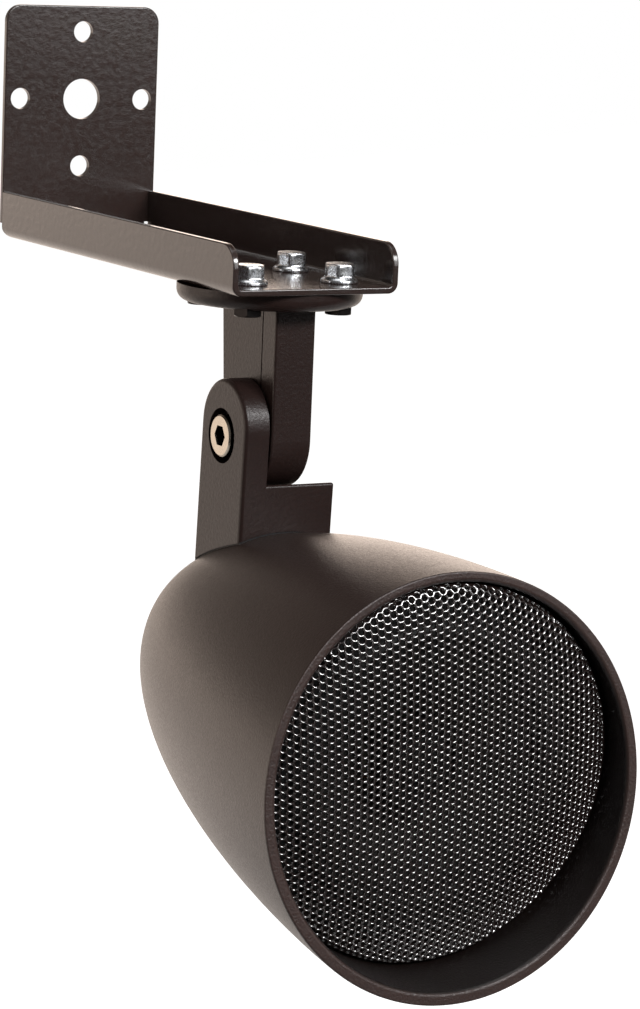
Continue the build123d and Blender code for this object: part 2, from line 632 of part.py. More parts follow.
def back_plate():
    """Back plate and pole in one piece, with the hole for the tweeter post's spigot."""
    plate = rod(TOP_PLATE_R, BACK_PLATE_FRONT - BACK_PLATE_THICK, BACK_PLATE_FRONT)
    plate += rod(POLE_R, BACK_PLATE_FRONT, POLE_TOP)
    return BODY * (plate - rod(SPIGOT_R + SPIGOT_CLEARANCE, POLE_TOP - SPIGOT_LENGTH - BOLT_TAIL, POLE_TOP))


def voice_coil():
    """Former tube with its winding centred in the gap."""
    middle = (MAGNET_FRONT + MOTOR_FRONT) / 2
    low, high = middle - WINDING_LENGTH / 2, middle + WINDING_LENGTH / 2
    former = ring(COIL_R + COIL_WALL, COIL_R, low, CONE_NECK + CONE_NECK_ABOVE)
    return BODY * (former + ring(COIL_R + COIL_WALL + COIL_WINDING, COIL_R + COIL_WALL / 2, low, high))


def cone():
    """Paper cone from the coil's neck to the flat lip that the surround is glued on."""
    neck = COIL_R + COIL_WALL + GLUE_LINE
    lip = CONE_RIM_R - CONE_LIP
    back = FRAME_FRONT - CONE_THICK
    return BODY * turned((neck, CONE_NECK - CONE_THICK), (neck, CONE_NECK + CONE_THICK), (lip, FRAME_FRONT),
                         (CONE_RIM_R, FRAME_FRONT), (CONE_RIM_R, back), (lip + CONE_THICK, back))


def surround():
    """Half roll between the cone's lip and the frame, with a flat lip on each."""
    base = FRAME_FRONT + GLUE_LINE
    inside = (FRAME_MOUTH_R - CONE_RIM_R) / 2
    middle = (FRAME_MOUTH_R + CONE_RIM_R) / 2
    half = Pos(middle, base) * (Circle(inside + ROLL_WALL) - Circle(inside))
    half &= Pos(middle, base) * Rectangle(4 * inside, 4 * inside, align=(Align.CENTER, Align.MIN))
    half += Pos(CONE_RIM_R - CONE_LIP, base) * Rectangle(CONE_LIP, ROLL_WALL, align=Align.MIN)
    half += Pos(FRAME_MOUTH_R, base) * Rectangle(SURROUND_LIP, ROLL_WALL, align=Align.MIN)
    return BODY * revolve(Plane.XZ * half, Axis.Z)


def spider():
    """Corrugated disc between the voice coil and the basket's ledge.

    The height above the ledge is half the wave's height times one minus the cosine of the radius in waves.
    """
    inner, outer = COIL_R + COIL_WALL + GLUE_LINE, SPIDER_LEDGE_R + SPIDER_LAP
    base = MOTOR_FRONT + SPIDER_STEP + GLUE_LINE
    steps = 8 * SPIDER_WAVES
    line = []
    for i in range(steps + 1):
        turn = radians(360) * SPIDER_WAVES * i / steps
        line.append((inner + (SPIDER_LEDGE_R - inner) * i / steps, base + SPIDER_WAVE / 2 * (1 - cos(turn))))
    line.append((outer, base))
    return BODY * turned(*line, *[(r, s + SPIDER_THICK) for r, s in reversed(line)])


# Coaxial tweeter on the pole

def tweeter_post():
    """Post on the pole, with its spigot in the pole's hole."""
    return BODY * (rod(POST_R, POLE_TOP, TWEETER_BACK) + rod(SPIGOT_R, POLE_TOP - SPIGOT_LENGTH, POLE_TOP))


def tweeter_cup():
    """Round tweeter body with a shallow seat for the dome."""
    front = TWEETER_BACK + TWEETER_DEPTH
    cup = rod(TWEETER_R, TWEETER_BACK, front)
    return BODY * (cup - rod(TWEETER_R - TWEETER_WALL, front - DOME_SEAT, front))


def tweeter_dome():
    """Thin domed cap with a flat lip on the seat."""
    base = TWEETER_BACK + TWEETER_DEPTH - DOME_SEAT + GLUE_LINE
    ball = (DOME_R ** 2 + DOME_RISE ** 2) / (2 * DOME_RISE)
    centre = base + DOME_RISE - ball
    cap = Pos(0, 0, centre) * (Sphere(ball) - Sphere(ball - DOME_THICK))
    cap &= rod(DOME_R, base, base + DOME_RISE)
    return BODY * (cap + ring(DOME_R + DOME_LIP, DOME_R - DOME_THICK, base, base + DOME_THICK))


# Filter board

def crossover_board():
    """Board on the two lugs."""
    board = Pos(0, 0, BOARD_STATION) * extrude(Rectangle(BOARD_WIDTH, BOARD_HEIGHT), BOARD_THICK)
    hole = rod(BOARD_SCREW_D / 2 + BOLT_HOLE_CLEARANCE, BOARD_STATION, BOARD_STATION + BOARD_THICK)
    return BODY * (board - [p * hole for p in board_screw_places()])


def crossover_capacitor():
    """Round capacitor that lies across the board on a flat."""
    can = Rot(Y=90) * rod(CAPACITOR_R, -CAPACITOR_LENGTH / 2, CAPACITOR_LENGTH / 2)
    seat = CAPACITOR_R - BOARD_THICK / 4
    can &= Pos(0, 0, -seat) * extrude(Rectangle(2 * CAPACITOR_LENGTH, 4 * CAPACITOR_R), 4 * CAPACITOR_R)
    return BODY * Pos(0, CAPACITOR_UP, BOARD_STATION + BOARD_THICK + seat) * can


def crossover_coil():
    """Ring-shaped inductor, flat on the board."""
    low = BOARD_STATION + BOARD_THICK
    return BODY * Pos(0, -WINDING_DOWN) * ring(WINDING_R, WINDING_HOLE_R, low, low + WINDING_HEIGHT)


def board_screw():
    """Pan screw about Z that holds the board on a lug."""
    front = BOARD_STATION + BOARD_THICK
    head = rod(BOARD_SCREW_HEAD_D / 2, front, front + BOARD_SCREW_HEAD)
    head = fillet(head.edges().group_by(Axis.Z)[-1], BOARD_SCREW_HEAD / 2)
    return head + rod(BOARD_SCREW_D / 2, BOARD_STATION - BOARD_SCREW_GRIP, front)


# Cable gland at the tail, open for a cable

def cable_gland():
    """Gland body: thread in the housing, hexagon on the boss and a round nose behind it."""
    hex_back = GLAND_FACE - GLAND_HEX_HEIGHT
    body = rod(GLAND_THREAD_R, GLAND_FACE, GLAND_FACE + GLAND_THREAD_LENGTH)
    body += hexagon(GLAND_HEX_AF, hex_back, GLAND_FACE)
    body += rod(GLAND_NOSE_R, hex_back - GLAND_NOSE_LENGTH, hex_back)
    return BODY * (body - rod(GLAND_BORE_R, hex_back - GLAND_NOSE_LENGTH, GLAND_FACE + GLAND_THREAD_LENGTH))


def gland_nut():
    """Round cap over the gland's nose, with the cable's hole in its end."""
    nose_end = GLAND_FACE - GLAND_HEX_HEIGHT - GLAND_NOSE_LENGTH
    cap = rod(GLAND_CAP_R, nose_end - GLAND_CAP_END, GLAND_FACE - GLAND_HEX_HEIGHT - GLAND_CAP_GAP)
    cap = fillet(cap.edges().group_by(Axis.Z)[0], GLAND_CAP_ROUND)
    cap -= rod(GLAND_NOSE_R + THREAD_CLEARANCE, nose_end, GLAND_FACE)
    return BODY * (cap - rod(GLAND_CAP_HOLE_R, nose_end - GLAND_CAP_END, nose_end))


def gland_seal():
    """Rubber sleeve inside the gland, around the cable."""
    nose_end = GLAND_FACE - GLAND_HEX_HEIGHT - GLAND_NOSE_LENGTH
    return BODY * ring(GLAND_BORE_R - GLUE_LINE, SEAL_HOLE_R, nose_end, nose_end + SEAL_LENGTH)


PARTS = {
    "wall_bracket": wall_bracket(),
    "flange_bolts": Compound([p * Pos(0, 0, FLOOR_TOP) * flange_bolt() for p in bolt_places()]),
    "flange_nuts": Compound([p * Pos(0, 0, FLANGE_UNDER + NUT_POCKET) * flange_nut() for p in bolt_places()]),
    "hanger_arm": hanger_arm(),
    "pivot_screw": pivot_screw(),
    "pivot_spacer": pivot_spacer(),
    "pivot_washer": pivot_washer(),
    "pivot_nut": pivot_nut(),
    "knuckle": knuckle(),
    "saddle_gasket": saddle_gasket(),
    "knuckle_screws": Compound(knuckle_screws()),
    "housing": housing(),
    "grille": grille(),
    "driver_gasket": driver_gasket(),
    "driver_basket": driver_basket(),
    "driver_screws": Compound([BODY * p * driver_screw() for p in driver_screw_places()]),
    "top_plate": top_plate(),
    "magnet": magnet(),
    "back_plate": back_plate(),
    "voice_coil": voice_coil(),
    "cone": cone(),
    "surround": surround(),
    "spider": spider(),
    "tweeter_post": tweeter_post(),
    "tweeter_cup": tweeter_cup(),
    "tweeter_dome": tweeter_dome(),
    "crossover_board": crossover_board(),
    "crossover_capacitor": crossover_capacitor(),
    "crossover_coil": crossover_coil(),
    "board_screws": Compound([BODY * p * board_screw() for p in board_screw_places()]),
    "cable_gland": cable_gland(),
    "gland_nut": gland_nut(),
    "gland_seal": gland_seal(),
}

os.makedirs("parts", exist_ok=True)
for name, solid in PARTS.items():
    export_step(solid, f"parts/{name}.step")
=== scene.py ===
"""Looks of an outdoor patio speaker that hangs on a tilting knuckle under a folded wall bracket."""

import json

import bpy
import numpy as np
from bpy.props import FloatProperty, FloatVectorProperty, IntProperty, PointerProperty
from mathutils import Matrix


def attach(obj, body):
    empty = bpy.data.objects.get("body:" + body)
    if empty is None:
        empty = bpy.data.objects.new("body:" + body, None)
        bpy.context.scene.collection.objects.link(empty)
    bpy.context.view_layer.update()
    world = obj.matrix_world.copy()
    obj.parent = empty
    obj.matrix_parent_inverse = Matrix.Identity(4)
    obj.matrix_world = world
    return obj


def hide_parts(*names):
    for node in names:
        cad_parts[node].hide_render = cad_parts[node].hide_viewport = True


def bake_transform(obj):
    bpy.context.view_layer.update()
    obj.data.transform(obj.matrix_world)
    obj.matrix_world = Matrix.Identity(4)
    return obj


bl_info = {
    "name": "Patio Speaker",
    "version": (1, 0, 0),
    "blender": (4, 5, 0),
    "location": "View3D > Sidebar > Speaker",
    "description": "Dresses an outdoor patio speaker with its coats, grille, bolts, driver, gland and stage",
    "category": "Object",
}

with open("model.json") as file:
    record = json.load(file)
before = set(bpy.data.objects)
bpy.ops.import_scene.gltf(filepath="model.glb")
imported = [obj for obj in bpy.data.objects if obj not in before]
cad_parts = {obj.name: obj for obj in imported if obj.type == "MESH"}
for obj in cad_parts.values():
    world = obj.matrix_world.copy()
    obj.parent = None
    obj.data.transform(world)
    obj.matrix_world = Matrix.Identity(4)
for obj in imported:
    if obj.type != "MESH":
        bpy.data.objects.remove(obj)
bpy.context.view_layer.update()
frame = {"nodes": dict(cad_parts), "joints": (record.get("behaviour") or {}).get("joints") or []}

MM = 0.001
WHITE = (1.0, 1.0, 1.0)
JOINTS = {joint["name"]: joint for joint in frame["joints"]}

# The body's own axes: across to the right, up, and forward out of the grille
PIVOT = np.array(JOINTS["tilt"]["pos_m"])
FORWARD = np.array(JOINTS["cone_travel"]["axis"])
ACROSS = np.array((1.0, 0.0, 0.0))
UPWARD = np.cross(FORWARD, ACROSS)
BODY_PITCH = float(np.arctan2(-FORWARD[2], -FORWARD[1]))
AXIS_DROP = 70.6 * MM
AXIS_START = PIVOT - AXIS_DROP * UPWARD

# Places and sizes in the CAD that the pieces and coats here keep to
LEDGE = 113.16 * MM
GRILLE_EDGE_PLANE = 118.16 * MM
GRILLE_RADIUS = 57.2 * MM
HOOD_BORE = 57.7 * MM
RIM_CENTRE = 128.3 * MM
RIM_SLANT = float(np.radians(9.5))
CHANNEL_FLOOR = -44.3 * MM
BOLT_REACH = 141.2 * MM
BOLT_SPACING = 31.0 * MM
SHANK_LENGTH = 9.9 * MM
# Depths along X over which painted shade darkens the pivot screw's socket
SOCKET_SHADE_SPAN = (-16.0 * MM, -15.4 * MM)
WINDING = (72.0 * MM, 81.0 * MM)
CONE_RIM = 38.5 * MM
FRAME_MOUTH = 43.5 * MM
SURROUND_BASE = 109.21 * MM
COIL_OUTSIDE = 13.55 * MM
SPIDER_LEDGE = 27.0 * MM
SPIDER_BASE = 86.41 * MM
GLAND_CAP_FRONT = -40.9 * MM

# Colour of the painted shade in a screw's socket, and the reach of a winding that covers its whole coil
SOCKET_SHADE_TINT = (0.012, 0.010, 0.009, 1)
WOUND_ALL_OVER = (-1.0, 1.0)

# Edges sharper than these, in degrees, stay sharp
SHARP = 40
SHARP_SHEET = 55

# Cells and holes of the grille
CELL_SIDES = 6
HOLE_SIDES = 2 * CELL_SIDES

# Camera, fitted to the photograph
CAMERA_PLACE = np.array((-0.502935, -1.077682, 0.072756))
CAMERA_YAW = 0.50987
CAMERA_PITCH = 0.17386
CAMERA_ROLL = 0.04205
CAMERA_LENS = 124.79
CAMERA_SENSOR = 36.0
CAMERA_CLIP = (0.05, 50.0)

# Lamps: the point that they look at, and each one's place, its width and height, and whether it is warm
LIT_POINT = np.array((0, -0.15, -0.13))
LAMPS = {
    "key": ((0.33, -1.47, 0.79), (1.2, 0.4), False),
    "fill": ((0.77, -1.48, 0.45), (0.4, 0.9), False),
    "top": ((0.05, -0.2, 1.4), (1.0, 1.0), False),
    "side": ((-1.6, 0.25, 0.03), (1.2, 1.2), True),
}

# Floor: start, end and number of grid lines, dish, brightness to camera and reflections, and their fade-in
FLOOR_ACROSS = (-4.0, 4.0, 33)
FLOOR_ALONG = (-0.4, 4.0, 20)
FLOOR_DISH = 0.0004
FLOOR_GLOW = 0.93
FLOOR_MIRROR = 0.65
FLOOR_FADE = 0.9

# What reflections show: heights are those of a unit direction, and turns go from straight back to the right
PANEL_TURN = (0.22, 0.44)
PANEL_TOP = (0.24, 0.50)
TABLE_TOP = (-0.02, 0.17)
BACKDROP_END = (0.65, 0.95)
WALL_TOP = (0.3, 0.7)
WALL_GLOW = 0.4
BACK_HALF = (-0.1, 0.3)
ROOM_LOW = (-0.3, 0.0)
ROOM_LOW_SHARE = 0.3


# Sizes and colours that a user would change

def colour(name, description, default):
    """A colour setting."""
    return FloatVectorProperty(name=name, description=description, subtype="COLOR", size=3, min=0.0, max=1.0,
                               default=default)


def length(name, description, default):
    """A length setting in metres, given in millimetres."""
    return FloatProperty(name=name, description=description, unit="LENGTH", precision=5, min=0.0,
                         default=default * MM)


def angle(name, description, default):
    """An angle setting, given in degrees."""
    return FloatProperty(name=name, description=description, subtype="ANGLE",
                         default=float(np.radians(default)))


def share(name, description, default):
    """A setting between 0 and 1."""
    return FloatProperty(name=name, description=description, subtype="FACTOR", min=0.0, max=1.0,
                         default=default)


def count_of(name, description, least, default):
    """A whole number."""
    return IntProperty(name=name, description=description, min=least, default=default)


def watts(name, description, default):
    """A lamp's power."""
    return FloatProperty(name=name, description=description, subtype="POWER", min=0.0, default=default)


class PATIO_PG_coats(bpy.types.PropertyGroup):
    """Powder coats of the castings and the folded sheet."""

    body: colour("Body", "Coat of the housing", (0.024, 0.0135, 0.0115))
    bracket: colour("Bracket", "Coat of the folded wall bracket", (0.030, 0.018, 0.0155))
    arm: colour("Arm", "Coat of the hanger arm and the knuckle", (0.021, 0.0115, 0.010))
    body_gloss: share("Body roughness", "Roughness of the body's coat", 0.34)
    bracket_gloss: share("Bracket roughness", "Roughness of the bracket's coat", 0.18)
    body_peel: length("Body peel", "Width of one bump of the body's coat", 0.7)
    bracket_peel: length("Bracket peel", "Width of one bump of the bracket's coat", 2.2)


class PATIO_PG_grille(bpy.types.PropertyGroup):
    """Perforated grille."""

    paint: colour("Paint", "Paint of the grille", (0.016, 0.009, 0.008))
    pitch: length("Pitch", "Distance between neighbouring holes", 2.345)
    hole: length("Hole", "Diameter of one hole", 1.72)
    hole_edge: length("Hole edge", "Width of the rounded edge round a hole", 0.28)
    sheet: length("Sheet", "Thickness of the sheet", 1.0)
    rise: length("Rise", "Height of the dome over its edge", 4.9)
    lean: angle("Lean", "Lean of the dome where the fold begins", 20.0)
    fold: length("Fold", "Radius of the fold at the edge", 3.6)
    holed: angle("Holed", "How far the holes go round the fold", 62.0)
    turn: angle("Turn", "Direction of one row of holes, from the right", 34.8)


class PATIO_PG_hardware(bpy.types.PropertyGroup):
    """Bolts, nuts, screws and washer."""

    zinc: colour("Zinc", "Plating of the bolts", (0.88, 0.89, 0.90))
    stainless: colour("Stainless", "Steel of the pivot screw", (0.64, 0.58, 0.49))
    black: colour("Black steel", "Steel of the nuts", (0.030, 0.027, 0.026))
    across_flats: length("Across flats", "Width of a bolt's hexagon", 8.8)
    bolt_height: length("Head height", "Height of a bolt's head", 6.0)
    bolt_flange: length("Flange", "Diameter of a bolt's flange", 11.4)
    thread: length("Thread", "Diameter of a bolt's thread", 5.0)
    thread_pitch: length("Thread pitch", "Pitch of a bolt's thread", 0.8)


class PATIO_PG_driver(bpy.types.PropertyGroup):
    """Loudspeaker and filter behind the grille."""

    paper: colour("Paper", "Pulp of the cone", (0.012, 0.011, 0.010))
    rubber: colour("Rubber", "Surround and gaskets", (0.012, 0.011, 0.011))
    roll_wall: length("Roll wall", "Thickness of the surround", 0.7)
    cone_lip: length("Cone lip", "Width of the surround's lip on the cone", 2.0)
    frame_lip: length("Frame lip", "Width of the surround's lip on the frame", 3.0)
    cloth: length("Cloth", "Thickness of the spider", 0.6)
    wave: length("Wave", "Height of the spider's waves", 1.0)
    waves: count_of("Waves", "Waves of the spider", 1, 5)
    spider_lap: length("Spider lap", "Width of the spider's lip on the basket", 3.5)
    sectors: count_of("Sectors", "Sectors of a ring that bends with the cone", 6, 12)
    frame: colour("Frame", "Paint of the pressed frame", (0.012, 0.012, 0.012))
    steel: colour("Motor steel", "Plating of the motor", (0.62, 0.60, 0.54))
    ferrite: colour("Ferrite", "Ring magnet", (0.045, 0.044, 0.045))
    copper: colour("Copper", "Wire of the coils", (0.70, 0.30, 0.15))
    spider: colour("Spider", "Treated cloth of the spider", (0.52, 0.33, 0.10))
    dome: colour("Dome", "Cloth of the tweeter's dome", (0.012, 0.011, 0.012))
    board: colour("Board", "Laminate of the filter board", (0.045, 0.150, 0.070))
    sleeve: colour("Sleeve", "Sleeve of the capacitor", (0.050, 0.075, 0.180))


class PATIO_PG_gland(bpy.types.PropertyGroup):
    """Cable gland at the tail."""

    plastic: colour("Plastic", "Moulded body of the gland", (0.022, 0.021, 0.021))
    cap_radius: length("Cap radius", "Outer radius of the cap", 8.4)
    flute_depth: length("Flute depth", "Depth of the cap's grip flutes", 0.5)
    flutes: count_of("Flutes", "Number of grip flutes", 6, 18)


class PATIO_PG_stage(bpy.types.PropertyGroup):
    """Floor, lights and camera."""

    floor: colour("Floor", "Colour of the floor", (0.86, 0.85, 0.84))
    floor_level: FloatProperty(name="Floor level", description="Height of the floor", unit="LENGTH",
                               default=-0.55)
    warm: colour("Warm light", "Colour of the lamp at the left and of the backdrop's reflection",
                 (1.0, 0.83, 0.71))
    ambient: share("Ambient", "Even light from all round", 0.11)
    panel: FloatProperty(name="Panel", description="Brightness of the rear panel in reflections", default=3.1)
    table: FloatProperty(name="Table", description="Brightness of the table in reflections", default=1.7)
    room: share("Room", "Brightness of the room in front in reflections", 0.09)
    key: watts("Key", "Power of the strip lamp high in front", 27.0)
    fill: watts("Fill", "Power of the tall lamp in front at the right", 3.2)
    top: watts("Top", "Power of the lamp overhead", 5.0)
    side: watts("Side", "Power of the lamp at the left", 5.0)


class PATIO_PG_speaker(bpy.types.PropertyGroup):
    """All settings of the speaker."""

    coats: PointerProperty(type=PATIO_PG_coats)
    grille: PointerProperty(type=PATIO_PG_grille)
    hardware: PointerProperty(type=PATIO_PG_hardware)
    driver: PointerProperty(type=PATIO_PG_driver)
    gland: PointerProperty(type=PATIO_PG_gland)
    stage: PointerProperty(type=PATIO_PG_stage)


# Node trees

def put(tree, kind, inputs=None, **fields):
    """Add a node, set its fields, and feed its inputs with values or with other nodes' outputs."""
    node = tree.nodes.new(kind)
    for field, value in fields.items():
        setattr(node, field, value)
    for key, value in (inputs or {}).items():
        if isinstance(value, bpy.types.NodeSocket):
            tree.links.new(value, node.inputs[key])
        else:
            node.inputs[key].default_value = value
    return node


def cloud(tree, place, width, detail=2.0):
    """Cloudy pattern from 0 to 1 whose blobs are about one width across."""
    inputs = {"Vector": place, "Scale": 1 / width, "Detail": detail}
    return put(tree, "ShaderNodeTexNoise", inputs).outputs["Fac"]


def ridges(tree, place, pitch, wave_type="BANDS", **direction):
    """Even ridges from 0 to 1, one per pitch, along an axis or as rings round it.

    At a scale of one, a Wave texture turns by 20 radians per metre.
    """
    inputs = {"Vector": place, "Scale": 2 * np.pi / (20 * pitch), "Distortion": 0.0}
    return put(tree, "ShaderNodeTexWave", inputs, wave_type=wave_type, **direction).outputs["Fac"]


def moved(tree, place, location=(0, 0, 0), rotation=(0, 0, 0), scale=(1, 1, 1)):
    """Coordinates scaled, turned and shifted."""
    inputs = {"Vector": place, "Location": location, "Rotation": rotation, "Scale": scale}
    return put(tree, "ShaderNodeMapping", inputs).outputs["Vector"]


def sum_of(tree, first, second, weight):
    """First pattern plus a weight times the second."""
    inputs = {0: second, 1: weight, 2: first}
    return put(tree, "ShaderNodeMath", inputs, operation="MULTIPLY_ADD").outputs["Value"]


def spread(tree, value, low, high, start=0.3, end=0.7):
    """A pattern's range from start to end, stretched to low to high."""
    inputs = {"Value": value, "From Min": start, "From Max": end, "To Min": low, "To Max": high}
    return put(tree, "ShaderNodeMapRange", inputs).outputs["Result"]


def shades(tree, value, *stops):
    """Colours along a pattern from 0 to 1, from (place, colour) stops. Two stops at 1 make a step."""
    node = put(tree, "ShaderNodeValToRGB", {"Fac": value})
    ramp = node.color_ramp
    ramp.elements[0].position, ramp.elements[1].position = stops[0][0], stops[-1][0]
    for place, _ in stops[1:-1]:
        ramp.elements.new(place)
    for element, (_, tint) in zip(ramp.elements, stops):
        element.color = (*tint, 1.0)
    return node.outputs["Color"]


def embossed(tree, height, depth, under=None):
    """Bumps of a pattern with the given depth, over earlier bumps."""
    inputs = {"Height": height, "Distance": depth}
    if under:
        inputs["Normal"] = under
    return put(tree, "ShaderNodeBump", inputs).outputs["Normal"]


def mixed(tree, weight, first, second):
    """Colour from the first to the second by a weight. A Mix node has colours at sockets 6, 7 and 2."""
    return put(tree, "ShaderNodeMix", {0: weight, 6: first, 7: second}, data_type="RGBA").outputs[2]


def between(tree, weight, first, second):
    """Value from the first to the second by a weight. A Mix node has values at sockets 2, 3 and 0."""
    return put(tree, "ShaderNodeMix", {0: weight, 2: first, 3: second}).outputs[0]


def combined(tree, operation, *values):
    """Values joined one after the other by a math operation."""
    result = values[0]
    for value in values[1:]:
        result = put(tree, "ShaderNodeMath", {0: result, 1: value}, operation=operation).outputs["Value"]
    return result


def parts_of(tree, place):
    """The three coordinates of a place or direction."""
    return put(tree, "ShaderNodeSeparateXYZ", {"Vector": place}).outputs


def toned(tint, *factors):
    """A colour multiplied by one factor, or by one for each channel."""
    return tuple(float(v) for v in np.clip(np.array(tint) * np.array(factors), 0, 1))


# Materials

class Finish:
    """A material in the making: its node tree, its shader and the Object coordinates."""

    def __init__(self, name, metallic=0.0, specular=0.5, ior=1.5):
        self.material = bpy.data.materials.new(name)
        self.material.use_nodes = True
        self.tree = self.material.node_tree
        self.shader = self.tree.nodes["Principled BSDF"]
        self.shader.inputs["Metallic"].default_value = metallic
        self.shader.inputs["Specular IOR Level"].default_value = specular
        self.shader.inputs["IOR"].default_value = ior
        self.place = put(self.tree, "ShaderNodeTexCoord").outputs["Object"]

    def done(self, base, roughness, normal):
        """Feed the shader with colour, roughness and bumps, and give the material."""
        self.tree.links.new(base, self.shader.inputs["Base Color"])
        self.tree.links.new(roughness, self.shader.inputs["Roughness"])
        self.tree.links.new(normal, self.shader.inputs["Normal"])
        return self.material


def inside_hood(tree, place):
    """One on the hood's bore in front of the grille, where the coat gets painted shade, else zero: by the
    station and the radius.
    """
    straight = moved(tree, moved(tree, place, location=tuple(-AXIS_START)), rotation=(-BODY_PITCH, 0, 0))
    across, back, up = parts_of(tree, straight)
    flat = put(tree, "ShaderNodeCombineXYZ", {"X": across, "Z": up}).outputs["Vector"]
    radius = put(tree, "ShaderNodeVectorMath", {0: flat}, operation="LENGTH").outputs["Value"]
    near = spread(tree, radius, 1.0, 0.0, HOOD_BORE, HOOD_BORE + 0.3 * MM)
    ahead = spread(tree, back, 1.0, 0.0, -LEDGE - 1.0 * MM, -LEDGE)
    return combined(tree, "MULTIPLY", near, ahead)


def rim_face(tree, place):
    """One on the hood's flat rim, where the coat gets painted light, else zero: by the distance along the
    rim's own normal.
    """
    facing = FORWARD * np.cos(RIM_SLANT) + UPWARD * np.sin(RIM_SLANT)
    level = float((AXIS_START + RIM_CENTRE * FORWARD) @ facing)
    along = put(tree, "ShaderNodeVectorMath", {0: place, 1: tuple(facing)}, operation="DOT_PRODUCT")
    return spread(tree, along.outputs["Value"], 0.0, 1.0, level - 0.3 * MM, level - 0.1 * MM)


def powder_coat(name, tint, roughness, peel, depth, specular, painted_shade=None, coarse_and_painted_light=None):
    """Baked powder coat: orange-peel bumps, paler on their tops as a painted highlight, over a fine grain and
    a faint broad mottle.

    Where the shade pattern is one, the coat is darker with painted shade. Where the coarse pattern is one, it
    is paler with painted light, duller, and its bumps are higher.
    """
    f = Finish(name, specular=specular)
    bumps = cloud(f.tree, f.place, peel, 3.0)
    grain = cloud(f.tree, f.place, peel / 5)
    mottle = cloud(f.tree, f.place, 30 * MM)
    # Painted highlight: the bump tops are paler, mixed with the mottle's own random tone
    tone = sum_of(f.tree, bumps, mottle, 0.6)
    base = shades(f.tree, tone, (0.50, toned(tint, 0.84)), (0.80, tint), (1.00, toned(tint, 1.16)))
    gloss = spread(f.tree, bumps, roughness + 0.06, roughness - 0.05)
    relief = embossed(f.tree, bumps, depth, embossed(f.tree, grain, depth / 5))
    # Painted shade: darker where the shade pattern is one, in the hood's bore
    if painted_shade:
        dark = shades(f.tree, tone, (0.50, toned(tint, 0.15)), (1.00, toned(tint, 0.30)))
        base = mixed(f.tree, painted_shade(f.tree, f.place), base, dark)
    # Painted light: paler where the coarse pattern is one, on the rim; the duller gloss and higher bumps are
    # the coat's own
    if coarse_and_painted_light:
        patch = coarse_and_painted_light(f.tree, f.place)
        pale = shades(f.tree, tone, (0.50, toned(tint, 1.1)), (1.00, toned(tint, 2.0)))
        base = mixed(f.tree, patch, base, pale)
        gloss = sum_of(f.tree, gloss, patch, 0.10)
        relief = embossed(f.tree, combined(f.tree, "MULTIPLY", patch, bumps), 1.5 * depth, relief)
    return f.done(base, gloss, relief)


def plated_steel(name, tint, roughness):
    """Bright plating: clouded tint and gloss, with fine rolling scratches."""
    f = Finish(name, metallic=1.0)
    patches = cloud(f.tree, f.place, 2.5 * MM, 3.0)
    scratches = cloud(f.tree, moved(f.tree, f.place, scale=(1, 6, 1)), 0.9 * MM, 4.0)
    base = shades(f.tree, patches, (0.3, toned(tint, 0.80, 0.82, 0.86)), (0.7, tint))
    gloss = spread(f.tree, scratches, roughness - 0.06, roughness + 0.10)
    return f.done(base, gloss, embossed(f.tree, scratches, 0.012 * MM))


def turned_steel(name, tint, roughness, centre, around, pitch, socket_shade=None):
    """Lathe-turned steel: fine rings round an axis through a centre, with a clouded tint.

    Where a start and an end along X are given, painted shade blackens the steel from the one to the other, as
    deep in a screw's socket.
    """
    f = Finish(name, metallic=1.0)
    middle = moved(f.tree, f.place, location=tuple(-centre))
    rings = ridges(f.tree, middle, pitch, "RINGS", rings_direction=around)
    patches = cloud(f.tree, f.place, 3 * MM, 3.0)
    base = shades(f.tree, patches, (0.3, toned(tint, 0.86)), (0.7, tint))
    # Painted shade deep in the socket
    if socket_shade:
        inwards = parts_of(f.tree, f.place)["X"]
        base = mixed(f.tree, spread(f.tree, inwards, 0.0, 1.0, *socket_shade), base, SOCKET_SHADE_TINT)
    gloss = spread(f.tree, patches, roughness - 0.05, roughness + 0.08)
    return f.done(base, gloss, embossed(f.tree, rings, 0.006 * MM))


def speckled(name, tint, roughness, grain, depth, contrast=0.25, ior=1.5):
    """Even stuff with a fine grain, such as rubber, plastic, ferrite or paint."""
    f = Finish(name, ior=ior)
    dots = cloud(f.tree, f.place, grain, 3.0)
    broad = cloud(f.tree, f.place, 25 * grain)
    tone = sum_of(f.tree, dots, broad, 0.5)
    base = shades(f.tree, tone, (0.5, toned(tint, 1 - contrast)), (1.0, toned(tint, 1 + contrast)))
    gloss = spread(f.tree, broad, roughness - 0.05, roughness + 0.05)
    return f.done(base, gloss, embossed(f.tree, dots, depth))


def pressed_pulp(name, tint):
    """Cone paper: short felted fibres in two directions with pale flecks."""
    f = Finish(name)
    along = cloud(f.tree, moved(f.tree, f.place, scale=(1, 1, 5)), 1.5 * MM, 4.0)
    athwart = cloud(f.tree, moved(f.tree, f.place, scale=(5, 1, 1)), 1.5 * MM, 4.0)
    fibres = sum_of(f.tree, along, athwart, 1.0)
    base = shades(f.tree, fibres, (0.75, toned(tint, 0.7)), (1.0, tint), (1.0, toned(tint, 2.2)))
    gloss = spread(f.tree, along, 0.72, 0.88)
    return f.done(base, gloss, embossed(f.tree, fibres, 0.05 * MM))


def woven(name, tint, pitch, roughness):
    """Plain weave in the plane square to the body's axis: two crossing sets of ridges."""
    f = Finish(name)
    flat = moved(f.tree, f.place, rotation=(-BODY_PITCH, 0, 0))
    warp = ridges(f.tree, flat, pitch, bands_direction="X")
    weft = ridges(f.tree, flat, pitch, bands_direction="Z")
    cloth = sum_of(f.tree, warp, weft, 1.0)
    base = shades(f.tree, cloth, (0.2, toned(tint, 0.55)), (1.0, tint), (1.0, toned(tint, 1.2)))
    gloss = spread(f.tree, warp, roughness - 0.06, roughness + 0.06)
    return f.done(base, gloss, embossed(f.tree, cloth, 0.08 * MM))


